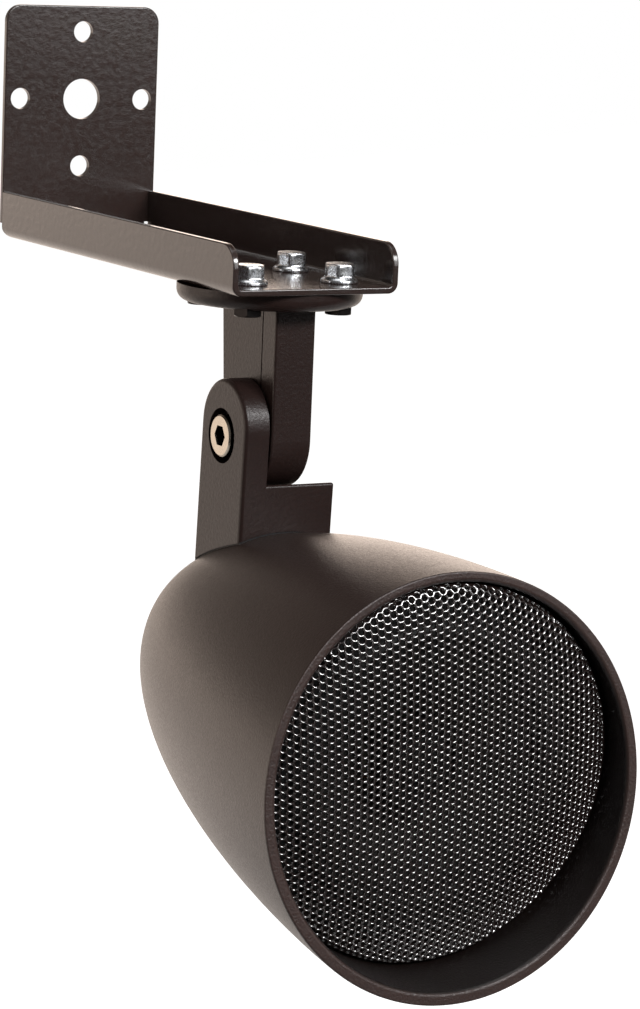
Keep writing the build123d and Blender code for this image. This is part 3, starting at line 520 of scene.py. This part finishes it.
def wound_wire(name, tint, pitch, start, end):
    """Enamelled wire wound round the body's axis, one ridge per turn.

    It goes from a start to an end along a black former. Copper is metal, and the former isn't.
    """
    f = Finish(name)
    straight = moved(f.tree, f.place, location=(0, float(AXIS_START @ FORWARD), 0),
                     rotation=(-BODY_PITCH, 0, 0))
    turns = ridges(f.tree, straight, pitch, bands_direction="Y")
    reach = {0: parts_of(f.tree, straight)["Y"], 1: -(start + end) / 2, 2: (end - start) / 2}
    wire_here = put(f.tree, "ShaderNodeMath", reach, operation="COMPARE").outputs["Value"]
    wire = shades(f.tree, turns, (0.0, toned(tint, 0.35)), (0.6, tint))
    dust = cloud(f.tree, f.place, 0.8 * MM)
    former = shades(f.tree, dust, (0.3, (0.006, 0.006, 0.006)), (0.7, (0.014, 0.013, 0.013)))
    f.tree.links.new(wire_here, f.shader.inputs["Metallic"])
    gloss = spread(f.tree, turns, 0.42, 0.24, 0.0, 1.0)
    return f.done(mixed(f.tree, wire_here, former, wire), gloss, embossed(f.tree, turns, 0.10 * MM))


def dress(material, *nodes):
    """Give CAD nodes a material in all their slots."""
    for name in nodes:
        if name not in frame["nodes"]:
            raise RuntimeError(f"the frame has no node {name}")
        for slot in frame["nodes"][name].material_slots:
            slot.material = material


# Surfaces

def unit(turn):
    """Pairs of cosine and sine."""
    return np.stack((np.cos(turn), np.sin(turn)), axis=-1)


def on_body(x, y, station):
    """Points in metres: start of the body's axis plus x across, y up and the station forward."""
    return AXIS_START + x[..., None] * ACROSS + y[..., None] * UPWARD + station[..., None] * FORWARD


def skin(rings, loop=False, ends=True):
    """Points and faces of a skin over closed rings, an array of (rows, columns, 3).

    Corner (row, column) joins the next row and the next column, and the columns close on themselves. With
    loop the last row joins the first. Otherwise each end is closed by a fan to the mean of its ring, or left
    open without ends. Columns turn left seen from the first row's side, so that faces look outwards.
    """
    rows, columns = rings.shape[:2]
    index = np.arange(rows * columns).reshape(rows, columns)
    right = np.roll(index, -1, axis=1)
    if loop:
        below, below_right = np.roll(index, -1, axis=0), np.roll(right, -1, axis=0)
        quads = np.stack((index, below, below_right, right), axis=-1).reshape(-1, 4)
        return rings.reshape(-1, 3), quads.tolist()
    quads = np.stack((index[:-1], index[1:], right[1:], right[:-1]), axis=-1).reshape(-1, 4)
    if not ends:
        return rings.reshape(-1, 3), quads.tolist()
    poles = np.stack((rings[0].mean(axis=0), rings[-1].mean(axis=0)))
    first, last = np.full(columns, rows * columns), np.full(columns, rows * columns + 1)
    fans = np.concatenate((np.stack((first, index[0], right[0]), axis=-1),
                           np.stack((last, right[-1], index[-1]), axis=-1)))
    return np.concatenate((rings.reshape(-1, 3), poles)), quads.tolist() + fans.tolist()


def linked(name, data):
    """A new object in the scene, of a mesh, a lamp or a camera."""
    made = bpy.data.objects.new(name, data)
    bpy.context.scene.collection.objects.link(made)
    return made


def smooth_mesh(name, points, faces, material):
    """A smooth mesh with one material."""
    mesh = bpy.data.meshes.new(name)
    mesh.from_pydata(points.tolist(), [], faces)
    if mesh.validate():
        raise RuntimeError(f"the mesh of {name} had faults")
    mesh.shade_smooth()
    mesh.materials.append(material)
    return mesh


def piece(name, points, faces, material, body, node, sharp=SHARP):
    """A new piece in place of a CAD node, smooth but for edges sharper than an angle in degrees."""
    mesh = smooth_mesh(name, points, faces, material)
    mesh.set_sharp_from_angle(angle=float(np.radians(sharp)))
    made = linked(name, mesh)
    if body is not None:
        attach(made, body)
    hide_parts(node)
    return made


def hexagon_radius(turn, apothem, limit):
    """Radius of a hexagon with softened corners, cut down by a circle.

    The inverse radius to a high power is the sum of each side's cosine over the apothem, and of the inverse
    limit, to that power. Corners are at 0, 60 and so on degrees.
    """
    power = 26
    sides = np.radians(30 + 60 * np.arange(6))
    facing = np.maximum(np.cos(turn[:, None] - sides), 0) / apothem
    return ((facing ** power).sum(axis=1) + limit ** -power) ** (-1 / power)


# Grille

def sheet_profile(rho, depth, size):
    """Radius and station of the grille's sheet at a developed radius rho and a depth below its outer face.

    The dome's lean is a power of the developed radius up to the fold. Its drop is the sum of the lean, and
    its radius loses half the sum of the lean squared. The fold turns with its own radius until the sheet runs
    straight back, and the skirt goes on from there. The depth is taken off along the outward normal. The
    third value is where the holes end, on the fold, and the fourth is the end of the fold.
    """
    foot = GRILLE_RADIUS - size.fold * (1 - np.sin(size.lean))
    drop = size.rise * (foot / GRILLE_RADIUS) ** 2
    power = size.lean * foot / drop
    start = foot / (1 - size.lean ** 2 / (4 * power - 2))
    end = start + size.fold * (np.pi / 2 - size.lean)
    dome = np.minimum(rho, start) / start
    bend = np.clip(rho, start, end) - start
    skirt = np.maximum(rho, end) - end
    phi = size.lean * dome ** (power - 1) + bend / size.fold
    at_fold = np.where(rho > start, size.fold, 0.0)
    radius = (start * dome - (start - foot) * dome ** (2 * power - 1)
              + at_fold * (np.sin(phi) - np.sin(size.lean)))
    station = (GRILLE_EDGE_PLANE + size.rise - drop * dome ** power
               - at_fold * (np.cos(size.lean) - np.cos(phi)) - skirt)
    return radius - depth * np.sin(phi), station - depth * np.cos(phi), start + size.fold * size.holed, end


def perforated_sheet(size):
    """Points and faces of the perforated sheet, its fold and its plain skirt.

    The flat sheet is a triangular lattice of six-sided cells with a twelve-sided hole in each. Corners that
    fall outside the end of the fold are drawn in to it, cells there stay blank, and the flat sheet is then
    laid over the profile by its polar coordinates. The rim of the sheet runs on as the skirt.
    """
    last, edge = (float(reach) for reach in sheet_profile(np.zeros(1), 0.0, size)[2:])
    reach = int(edge / size.pitch) + 3
    i, j = np.meshgrid(np.arange(-2 * reach, 2 * reach + 1), np.arange(-reach, reach + 1))
    centres = size.pitch * (i.reshape(-1, 1) * unit(size.turn)
                            + j.reshape(-1, 1) * unit(size.turn + np.radians(60)))
    far = np.hypot(*centres.T)
    inside = far < edge + size.pitch
    centres, far = centres[inside], far[inside]
    centres = centres[np.argsort(far)]
    mouth = size.hole / 2 + size.hole_edge
    count = int((far + mouth < last).sum())

    # Cells share the corners that round to the same step
    step = 0.01 * MM
    spokes = unit(size.turn + np.radians(30 + 60 * np.arange(CELL_SIDES)))
    outline = centres[:, None] + size.pitch / 3 ** 0.5 * spokes
    keys, corner = np.unique(np.round(outline.reshape(-1, 2) / step), axis=0, return_inverse=True)
    corner = corner.reshape(-1, CELL_SIDES)
    circle = unit(size.turn + np.radians(30 + 30 * np.arange(HOLE_SIDES)))
    mouths = (centres[:count, None] + mouth * circle).reshape(-1, 2)
    bores = (centres[:count, None] + size.hole / 2 * circle).reshape(-1, 2)
    blanks = centres[count:]

    # Groups of points, flat, each with its depth below the outer face
    groups = {
        "front corners": (keys * step, 0.0),
        "back corners": (keys * step, size.sheet),
        "mouths": (mouths, 0.0),
        "bore tops": (bores, size.hole_edge),
        "bore ends": (bores, size.sheet),
        "front blanks": (blanks, 0.0),
        "back blanks": (blanks, size.sheet),
    }
    starts = dict(zip(groups, np.cumsum([0] + [len(places) for places, _ in groups.values()])))
    depth = np.concatenate([np.full(len(places), below) for places, below in groups.values()])
    flat = np.concatenate([places for places, _ in groups.values()])
    rho, theta = np.hypot(*flat.T), np.arctan2(flat[:, 1], flat[:, 0])
    drawn_in = rho >= edge
    rho = np.minimum(rho, edge)

    def cells(side, holes):
        """Triangles of one side: three for each sixth of a holed cell, one for each sixth of a blank one."""
        here = corner[:count] + starts[f"{side} corners"]
        following = np.roll(here, -1, axis=1)
        hole = starts[holes] + np.arange(HOLE_SIDES * count).reshape(count, CELL_SIDES, 2)
        even, odd, after = hole[..., 0], hole[..., 1], np.roll(hole[..., 0], -1, axis=1)
        holed = np.stack((np.stack((here, following, odd), -1), np.stack((here, odd, even), -1),
                          np.stack((following, after, odd), -1)), axis=-2)
        outer = corner[count:] + starts[f"{side} corners"]
        middle = np.broadcast_to(starts[f"{side} blanks"] + np.arange(len(blanks))[:, None], outer.shape)
        blank = np.stack((middle, outer, np.roll(outer, -1, axis=1)), -1)
        triangles = np.concatenate((holed.reshape(-1, 3), blank.reshape(-1, 3)))
        return triangles[~drawn_in[triangles].all(axis=1)]

    def hole_walls(upper, lower):
        """Quads between two rings of every hole, facing into it."""
        ring = np.arange(HOLE_SIDES * count).reshape(count, HOLE_SIDES)
        top, low = starts[upper] + ring, starts[lower] + ring
        return np.stack((top, np.roll(top, -1, axis=1), np.roll(low, -1, axis=1), low), -1).reshape(-1, 4)

    front = cells("front", "mouths")
    back = cells("back", "bore ends")

    # The skirt hangs from the sides on the rim, which belong to one triangle only
    total = len(flat)
    sides = np.concatenate((front[:, (0, 1)], front[:, (1, 2)], front[:, (2, 0)]))
    sides = sides[drawn_in[sides].all(axis=1)]
    codes, mirrored = sides[:, 0] * total + sides[:, 1], sides[:, 1] * total + sides[:, 0]
    rim = sides[~np.isin(codes, mirrored)]
    ends, place = np.unique(rim, return_inverse=True)
    place = place.reshape(-1, 2)
    behind = np.where(ends < len(keys), ends + starts["back corners"],
                      ends - starts["front blanks"] + starts["back blanks"])
    bottom = edge + sheet_profile(np.array([edge]), 0.0, size)[1][0] - LEDGE
    rho = np.concatenate((rho, np.full(2 * len(ends), bottom)))
    theta = np.concatenate((theta, theta[ends], theta[ends]))
    depth = np.concatenate((depth, np.zeros(len(ends)), np.full(len(ends), size.sheet)))
    outer_low, inner_low = total + place, total + len(ends) + place
    inner = behind[place]
    skirt = np.concatenate((
        np.stack((rim[:, 1], rim[:, 0], outer_low[:, 0], outer_low[:, 1]), -1),
        np.stack((inner[:, 0], inner[:, 1], inner_low[:, 1], inner_low[:, 0]), -1),
        np.stack((outer_low[:, 0], inner_low[:, 0], inner_low[:, 1], outer_low[:, 1]), -1)))

    radius, station = sheet_profile(rho, depth, size)[:2]
    points = on_body(radius * np.cos(theta), radius * np.sin(theta), station)
    triangles = np.concatenate((front, back[:, ::-1]))
    quads = np.concatenate((hole_walls("mouths", "bore tops"), hole_walls("bore tops", "bore ends"), skirt))
    used = np.unique(np.concatenate((triangles.ravel(), quads.ravel())))
    faces = np.searchsorted(used, triangles).tolist() + np.searchsorted(used, quads).tolist()
    return points[used], faces


# Bolts and gland cap

def bolt_rings(size):
    """Rings of one flange bolt about the upright axis, from the top down.

    Each ring's radius is its circle's, blended by a weight into the hexagon. The shank's radius falls and
    rises once per pitch along the axis and once per turn round it, which makes a screw thread.
    """
    columns, steps_per_pitch = 48, 5
    thread_depth, point_length, point_slope = 0.22, 0.8, 0.7
    turn = np.linspace(0, 2 * np.pi, columns, endpoint=False)
    top, wide, half = size.bolt_height / MM, size.bolt_flange / 2 / MM, size.across_flats / 2 / MM
    # Height, radius of the circle, weight of the hexagon, and its limit in apothems
    head = np.array((
        (top - 0.15, 0.20 * half, 0, 2), (top - 0.15, 0.54 * half, 0, 2), (top - 0.12, 0.62 * half, 0, 2),
        (top - 0.02, 0.70 * half, 0, 2), (top, 0.78 * half, 0, 2), (top - 0.04, half, 1, 0.93),
        (top - 0.16, half, 1, 1.00), (top - 0.36, half, 1, 1.06), (top - 0.62, half, 1, 1.12),
        (top - 1.0, half, 1, 1.24), (top - 1.4, half, 1, 2), (2.3, half, 1, 2), (2.0, 1.10 * half, 0.92, 2),
        (1.8, 1.13 * half, 0.6, 2), (1.55, 1.17 * half, 0.2, 2), (1.3, wide - 0.34, 0, 2),
        (1.05, wide - 0.13, 0, 2), (0.85, wide - 0.04, 0, 2), (0.55, wide, 0, 2), (0.2, wide - 0.06, 0, 2),
        (0.0, wide - 0.35, 0, 2)))
    height, circle, weight, limit = head.T[:, :, None]
    radius = (1 - weight) * circle + weight * hexagon_radius(turn, half, half * limit)
    level = np.broadcast_to(height, radius.shape)
    pitch, shank = size.thread_pitch / MM, size.thread / 2 / MM
    down = np.arange(0, SHANK_LENGTH / MM + 0.01, pitch / steps_per_pitch)[:, None]
    groove = 0.5 - 0.5 * np.cos(2 * np.pi * down / pitch + turn)
    point = np.clip(down - (SHANK_LENGTH / MM - point_length), 0, None)
    screw = shank - thread_depth * groove * np.minimum(down / pitch, 1) - point_slope * point
    radius = np.concatenate((radius, screw))
    level = np.concatenate((level, np.broadcast_to(-down, screw.shape)))
    return MM * np.stack((radius * np.cos(turn), radius * np.sin(turn), level), axis=-1)


def cap_rings(size):
    """Rings of the gland's cap about the body's axis, one closed loop: outside, end, cable hole and inside.

    Grip flutes take a rounded cosine off the outer rings, by each ring's weight.
    """
    columns_per_flute, land = 8, -0.2
    turn = np.linspace(0, 2 * np.pi, columns_per_flute * size.flutes, endpoint=False)
    wide = size.cap_radius / MM
    # Distance forward of the cap's front, radius, and weight of the flutes
    loop = np.array((
        (0.0, wide - 0.45, 0), (-0.15, wide - 0.15, 0), (-0.45, wide, 0), (-0.8, wide, 0.4), (-1.2, wide, 1),
        (-4.9, wide, 1), (-5.5, wide - 0.02, 0.8), (-6.0, wide - 0.15, 0.35), (-6.4, wide - 0.45, 0.05),
        (-6.7, wide - 0.85, 0), (-6.86, wide - 1.3, 0), (-6.9, wide - 1.8, 0), (-6.9, 4.3, 0),
        (-6.82, 3.95, 0), (-6.6, 3.7, 0), (-6.3, 3.6, 0), (-5.3, 3.6, 0), (-5.3, 6.85, 0), (0.0, 6.85, 0),
        (0.0, wide - 0.8, 0)))
    back, radius, weight = loop.T[:, :, None]
    radius = radius - weight * size.flute_depth / MM * np.maximum(np.cos(size.flutes * turn), land)
    station = GLAND_CAP_FRONT + MM * np.broadcast_to(back, radius.shape)
    return on_body(MM * radius * np.cos(turn), MM * radius * np.sin(turn), station)


# Surround and spider

def roll_outline(size):
    """Closed outline of the surround, in pairs of radius and station.

    A half circle goes from the cone's rim over to the frame's mouth, and a second one, larger by the wall,
    comes back above it. Both end in flat lips, on the cone and on the frame.
    """
    middle, inside = (FRAME_MOUTH + CONE_RIM) / 2, (FRAME_MOUTH - CONE_RIM) / 2
    wall, outside = size.roll_wall, inside + size.roll_wall
    foot = np.arcsin(wall / outside)
    steps = 25
    under, over = np.linspace(np.pi, 0, steps), np.linspace(foot, np.pi - foot, steps)
    inner, outer = CONE_RIM - size.cone_lip, FRAME_MOUTH + size.frame_lip
    radius = np.concatenate(((inner,), middle + inside * np.cos(under), (outer, outer),
                             middle + outside * np.cos(over), (inner,)))
    height = np.concatenate(((0,), inside * np.sin(under), (0, wall), outside * np.sin(over), (wall,)))
    return np.column_stack((radius, SURROUND_BASE + height))


def wave_outline(size):
    """Closed outline of the spider, in pairs of radius and station.

    The height above the basket's ledge is half the wave's height times one minus the cosine of the radius in
    waves, and the way back is the same line, raised by the cloth's thickness.
    """
    steps_per_wave = 16
    turn = np.linspace(0, 2 * np.pi * size.waves, steps_per_wave * size.waves + 1)
    radius = np.append(np.linspace(COIL_OUTSIDE, SPIDER_LEDGE, len(turn)), SPIDER_LEDGE + size.spider_lap)
    height = np.append(size.wave / 2 * (1 - np.cos(turn)), 0)
    under = np.column_stack((radius, SPIDER_BASE + height))
    return np.concatenate((under, under[::-1] + (0, size.cloth)))


def flexing_ring(name, outline, sectors, material, node):
    """A ring swept from a closed outline round the body's axis, in place of a CAD node.

    It is made in sectors, each a smooth piece of its own with its points baked into place, and neighbours
    agree along the edge that they share.
    """
    half, rows = np.pi / sectors, 9
    radius, station = outline.T
    for number in range(sectors):
        middle = 2 * half * number
        turn = np.linspace(middle - half, middle + half, rows)[:, None]
        rings = on_body(radius * np.cos(turn), radius * np.sin(turn), station + 0 * turn)
        points, faces = skin(rings, ends=False)
        made = piece(f"{name}_{number + 1:02d}", points, faces, material, None, node)
        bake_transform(made)


# Stage

def bare_tree(owner):
    """Node tree of a material or a world, emptied."""
    owner.use_nodes = True
    owner.node_tree.nodes.clear()
    return owner.node_tree


def rays(tree, *kinds):
    """One where the ray is of any of the kinds named, else zero."""
    seen = put(tree, "ShaderNodeLightPath").outputs
    return combined(tree, "MAXIMUM", *(seen[kind] for kind in kinds))


def lit(tree, size, seen, mirrored, even, warmth):
    """Colour and strength of a surround.

    The camera sees white of one strength, glossy and transmission rays see the mirrored strength, warm by
    its share, and other rays see the even one.
    """
    mirror = rays(tree, "Is Glossy Ray", "Is Transmission Ray")
    warmed = combined(tree, "MULTIPLY", mirror, warmth)
    tint = mixed(tree, warmed, (*WHITE, 1), (*size.warm, 1))
    indirect = between(tree, mirror, even, mirrored)
    return {"Color": tint, "Strength": between(tree, rays(tree, "Is Camera Ray"), indirect, seen)}


def studio_floor(size):
    """Wide floor under the speaker, slightly dished so that its far edges rise.

    The height is the floor level plus a small share of the distance from the middle to the fourth power.
    Reflections show it brighter behind the speaker.
    """
    x, y = np.meshgrid(np.linspace(*FLOOR_ACROSS), np.linspace(*FLOOR_ALONG), indexing="ij")
    z = size.floor_level + FLOOR_DISH * np.hypot(x, y) ** 4
    index = np.arange(x.size).reshape(x.shape)
    quads = np.stack((index[:-1, :-1], index[1:, :-1], index[1:, 1:], index[:-1, 1:]), -1).reshape(-1, 4)
    material = bpy.data.materials.new("pale_floor")
    tree = bare_tree(material)
    place = put(tree, "ShaderNodeTexCoord").outputs["Object"]
    tint = shades(tree, cloud(tree, place, 0.4), (0.3, toned(size.floor, 0.98)), (0.7, size.floor))
    matt = put(tree, "ShaderNodeBsdfDiffuse", {"Color": tint}).outputs["BSDF"]
    mirrored = spread(tree, parts_of(tree, place)["Y"], 0.0, FLOOR_MIRROR * size.table, 0.0, FLOOR_FADE)
    glow = lit(tree, size, FLOOR_GLOW, mirrored, 0.0, 1.0)
    pale = put(tree, "ShaderNodeEmission", glow).outputs["Emission"]
    both = put(tree, "ShaderNodeAddShader", {0: matt, 1: pale})
    put(tree, "ShaderNodeOutputMaterial", {"Surface": both.outputs["Shader"]})
    points = np.stack((x, y, z), -1).reshape(-1, 3)
    floor = linked("floor", smooth_mesh("floor", points, quads.tolist(), material))


def studio_world(size):
    """Surround that the camera sees as white and that lights evenly.

    Reflections show a bright panel behind at the right, a bright table up to the horizon behind, a faint
    wall above it, and a dim room in front.
    """
    world = bpy.data.worlds.new("studio")
    tree = bare_tree(world)
    towards = put(tree, "ShaderNodeTexCoord").outputs["Generated"]
    right, back, height = parts_of(tree, towards)
    turn = combined(tree, "ARCTAN2", right, back)
    end = spread(tree, turn, 1.0, 0.0, *BACKDROP_END)
    panel = combined(tree, "MULTIPLY", spread(tree, turn, 0.0, size.panel, *PANEL_TURN),
                     spread(tree, height, 1.0, 0.0, *PANEL_TOP), end)
    table = combined(tree, "MULTIPLY", spread(tree, height, size.table, 0.0, *TABLE_TOP), end)
    wall = spread(tree, height, WALL_GLOW, 0.0, *WALL_TOP)
    behind = spread(tree, back, 0.0, 1.0, *BACK_HALF)
    room = spread(tree, height, ROOM_LOW_SHARE * size.room, size.room, *ROOM_LOW)
    mirrored = between(tree, behind, room, combined(tree, "MAXIMUM", panel, table, wall))
    sky = put(tree, "ShaderNodeBackground", lit(tree, size, 1.0, mirrored, size.ambient, behind))
    put(tree, "ShaderNodeOutputWorld", {"Surface": sky.outputs["Background"]})
    bpy.context.scene.world = world


def aimed(position, target, roll=0.0):
    """Columns of the 4 by 4 matrix of something at a position that looks at a target."""
    back = np.array(position, float) - target
    back /= np.linalg.norm(back)
    right = np.cross((0, 0, 1), back)
    right /= np.linalg.norm(right)
    above = np.cross(back, right)
    columns = np.eye(4)
    columns[0, :3] = np.cos(roll) * right + np.sin(roll) * above
    columns[1, :3] = np.cos(roll) * above - np.sin(roll) * right
    columns[2, :3], columns[3, :3] = back, position
    return columns.tolist()


def softbox(name, position, extent, power, tint):
    """Oblong studio lamp, of a width and a height, that looks at the middle of the speaker."""
    lamp = bpy.data.lights.new(name, "AREA")
    lamp.shape = "RECTANGLE"
    lamp.size, lamp.size_y = extent
    lamp.energy, lamp.color = power, tint
    linked(name, lamp).matrix_world = aimed(position, LIT_POINT)


# Operators

class PATIO_OT_coats(bpy.types.Operator):
    """Coat the bracket, the hanger arm, the knuckle and the housing"""

    bl_idname = "patio_speaker.coats"
    bl_label = "Coats"

    def execute(self, context):
        size = context.scene.patio_speaker.coats
        # The housing gets painted shade in the hood's bore and painted light on its rim
        body = powder_coat("body_coat", size.body, size.body_gloss, size.body_peel, depth=0.08 * MM,
                           specular=0.55, painted_shade=inside_hood, coarse_and_painted_light=rim_face)
        bracket = powder_coat("bracket_coat", size.bracket, size.bracket_gloss, size.bracket_peel,
                              depth=0.06 * MM, specular=0.95)
        arm = powder_coat("arm_coat", size.arm, size.body_gloss, 1.6 * size.body_peel, depth=0.09 * MM,
                          specular=0.30)
        dress(body, "housing")
        dress(bracket, "wall_bracket")
        dress(arm, "hanger_arm", "knuckle")
        return {"FINISHED"}


class PATIO_OT_grille(bpy.types.Operator):
    """Make the domed perforated grille"""

    bl_idname = "patio_speaker.grille"
    bl_label = "Grille"

    def execute(self, context):
        size = context.scene.patio_speaker.grille
        paint = speckled("grille_paint", size.paint, 0.12, grain=0.5 * MM, depth=0.01 * MM, ior=3.2)
        points, faces = perforated_sheet(size)
        piece("grille_sheet", points, faces, paint, "head", "grille", SHARP_SHEET)
        return {"FINISHED"}


class PATIO_OT_hardware(bpy.types.Operator):
    """Make the flange bolts, and finish the nuts, the pivot hardware and the hidden screws"""

    bl_idname = "patio_speaker.hardware"
    bl_label = "Bolts and screws"

    def execute(self, context):
        size = context.scene.patio_speaker.hardware
        zinc = plated_steel("zinc_plating", size.zinc, 0.24)
        sides = np.array(((-1, -1), (-1, 1), (1, -1), (1, 1))) * BOLT_SPACING / 2
        feet = np.column_stack((sides - (0, BOLT_REACH), np.full(4, CHANNEL_FLOOR)))
        points, faces = skin(bolt_rings(size))
        every = (points[None] + feet[:, None]).reshape(-1, 3)
        shifted = [[corner + len(points) * k for corner in face] for k in range(len(feet)) for face in faces]
        piece("bolt_set", every, shifted, zinc, "bracket", "flange_bolts")
        turned = turned_steel("turned_stainless", size.stainless, 0.28, PIVOT, "X", pitch=0.35 * MM)
        black = plated_steel("black_steel", size.black, 0.34)
        dress(speckled("black_nylon", size.black, 0.50, grain=0.5 * MM, depth=0.02 * MM), "pivot_spacer")
        # The screw's hex socket gets painted shade
        head = turned_steel("pivot_stainless", size.stainless, 0.28, PIVOT, "X", pitch=0.35 * MM,
                            socket_shade=SOCKET_SHADE_SPAN)
        dress(head, "pivot_screw")
        dress(turned, "pivot_washer", "pivot_nut")
        dress(black, "flange_nuts", "driver_screws")
        dress(zinc, "knuckle_screws", "board_screws")
        return {"FINISHED"}


class PATIO_OT_driver(bpy.types.Operator):
    """Make the surround and the spider, and finish the loudspeaker, its tweeter and the filter board"""

    bl_idname = "patio_speaker.driver"
    bl_label = "Driver and filter"

    def execute(self, context):
        size = context.scene.patio_speaker.driver
        rubber = speckled("black_rubber", size.rubber, 0.62, grain=0.6 * MM, depth=0.03 * MM)
        steel = turned_steel("motor_steel", size.steel, 0.32, AXIS_START, "Y", pitch=0.6 * MM)
        dress(pressed_pulp("cone_pulp", size.paper), "cone")
        dress(rubber, "saddle_gasket", "driver_gasket")
        flexing_ring("surround_roll", roll_outline(size), size.sectors, rubber,
                     "surround")
        dress(speckled("frame_paint", size.frame, 0.42, grain=0.7 * MM, depth=0.03 * MM), "driver_basket")
        dress(steel, "top_plate", "back_plate")
        ferrite = speckled("ferrite", size.ferrite, 0.58, grain=0.4 * MM, depth=0.04 * MM, contrast=0.4)
        dress(ferrite, "magnet")
        dress(wound_wire("coil_wire", size.copper, 0.45 * MM, *WINDING), "voice_coil")
        dress(wound_wire("choke_wire", size.copper, 0.6 * MM, *WOUND_ALL_OVER), "crossover_coil")
        cloth = woven("spider_cloth", size.spider, 0.7 * MM, 0.82)
        flexing_ring("spider_disc", wave_outline(size), size.sectors, cloth,
                     "spider")
        dress(woven("dome_cloth", size.dome, 0.35 * MM, 0.62), "tweeter_dome")
        plastic = speckled("tweeter_plastic", size.frame, 0.48, grain=0.5 * MM, depth=0.02 * MM)
        dress(plastic, "tweeter_cup", "tweeter_post")
        dress(woven("board_laminate", size.board, 0.6 * MM, 0.38), "crossover_board")
        sleeve = speckled("capacitor_sleeve", size.sleeve, 0.30, grain=1.2 * MM, depth=0.02 * MM)
        dress(sleeve, "crossover_capacitor")
        return {"FINISHED"}


class PATIO_OT_gland(bpy.types.Operator):
    """Make the gland's fluted cap, and finish its body and its seal"""

    bl_idname = "patio_speaker.gland"
    bl_label = "Cable gland"

    def execute(self, context):
        size = context.scene.patio_speaker.gland
        plastic = speckled("gland_plastic", size.plastic, 0.44, grain=0.5 * MM, depth=0.03 * MM)
        points, faces = skin(cap_rings(size), loop=True)
        piece("gland_cap", points, faces, plastic, "head", "gland_nut")
        dress(plastic, "cable_gland")
        dress(speckled("seal_rubber", size.plastic, 0.66, grain=0.4 * MM, depth=0.03 * MM), "gland_seal")
        return {"FINISHED"}


class PATIO_OT_stage(bpy.types.Operator):
    """Set the floor, the lamps, the white surround and the camera"""

    bl_idname = "patio_speaker.stage"
    bl_label = "Stage"

    def execute(self, context):
        size = context.scene.patio_speaker.stage
        context.scene.view_settings.view_transform = "Standard"
        studio_floor(size)
        studio_world(size)
        for name, (place, extent, warm) in LAMPS.items():
            softbox(f"{name}_lamp", place, extent, getattr(size, name), size.warm if warm else WHITE)
        camera = bpy.data.cameras.new("camera")
        camera.lens, camera.sensor_width, camera.sensor_fit = CAMERA_LENS, CAMERA_SENSOR, "AUTO"
        camera.clip_start, camera.clip_end = CAMERA_CLIP
        made = linked("camera", camera)
        level = np.cos(CAMERA_PITCH)
        ahead = np.array((np.sin(CAMERA_YAW) * level, np.cos(CAMERA_YAW) * level, -np.sin(CAMERA_PITCH)))
        made.matrix_world = aimed(CAMERA_PLACE, CAMERA_PLACE + ahead, CAMERA_ROLL)
        context.scene.camera = made
        return {"FINISHED"}


# Panel and registration

class PATIO_PT_speaker(bpy.types.Panel):
    """Steps and settings of the patio speaker"""

    bl_idname = "PATIO_PT_speaker"
    bl_label = "Patio Speaker"
    bl_space_type = "VIEW_3D"
    bl_region_type = "UI"
    bl_category = "Speaker"

    def draw(self, context):
        for step in STEPS:
            self.layout.operator(step.bl_idname)
        speaker = context.scene.patio_speaker
        for part in speaker.__annotations__:
            group = getattr(speaker, part)
            box = self.layout.box()
            for name in group.__annotations__:
                box.prop(group, name)


STEPS = (PATIO_OT_coats, PATIO_OT_grille, PATIO_OT_hardware, PATIO_OT_driver, PATIO_OT_gland, PATIO_OT_stage)
CLASSES = (PATIO_PG_coats, PATIO_PG_grille, PATIO_PG_hardware, PATIO_PG_driver, PATIO_PG_gland,
           PATIO_PG_stage, PATIO_PG_speaker, *STEPS, PATIO_PT_speaker)


def register():
    for kind in CLASSES:
        bpy.utils.register_class(kind)
    bpy.types.Scene.patio_speaker = PointerProperty(type=PATIO_PG_speaker)


def unregister():
    del bpy.types.Scene.patio_speaker
    for kind in reversed(CLASSES):
        bpy.utils.unregister_class(kind)


def main():
    """Dress the speaker step by step."""
    register()
    bpy.ops.patio_speaker.coats()
    bpy.ops.patio_speaker.grille()
    bpy.ops.patio_speaker.hardware()
    bpy.ops.patio_speaker.driver()
    bpy.ops.patio_speaker.gland()
    bpy.ops.patio_speaker.stage()


if __name__ == "__main__":
    main()
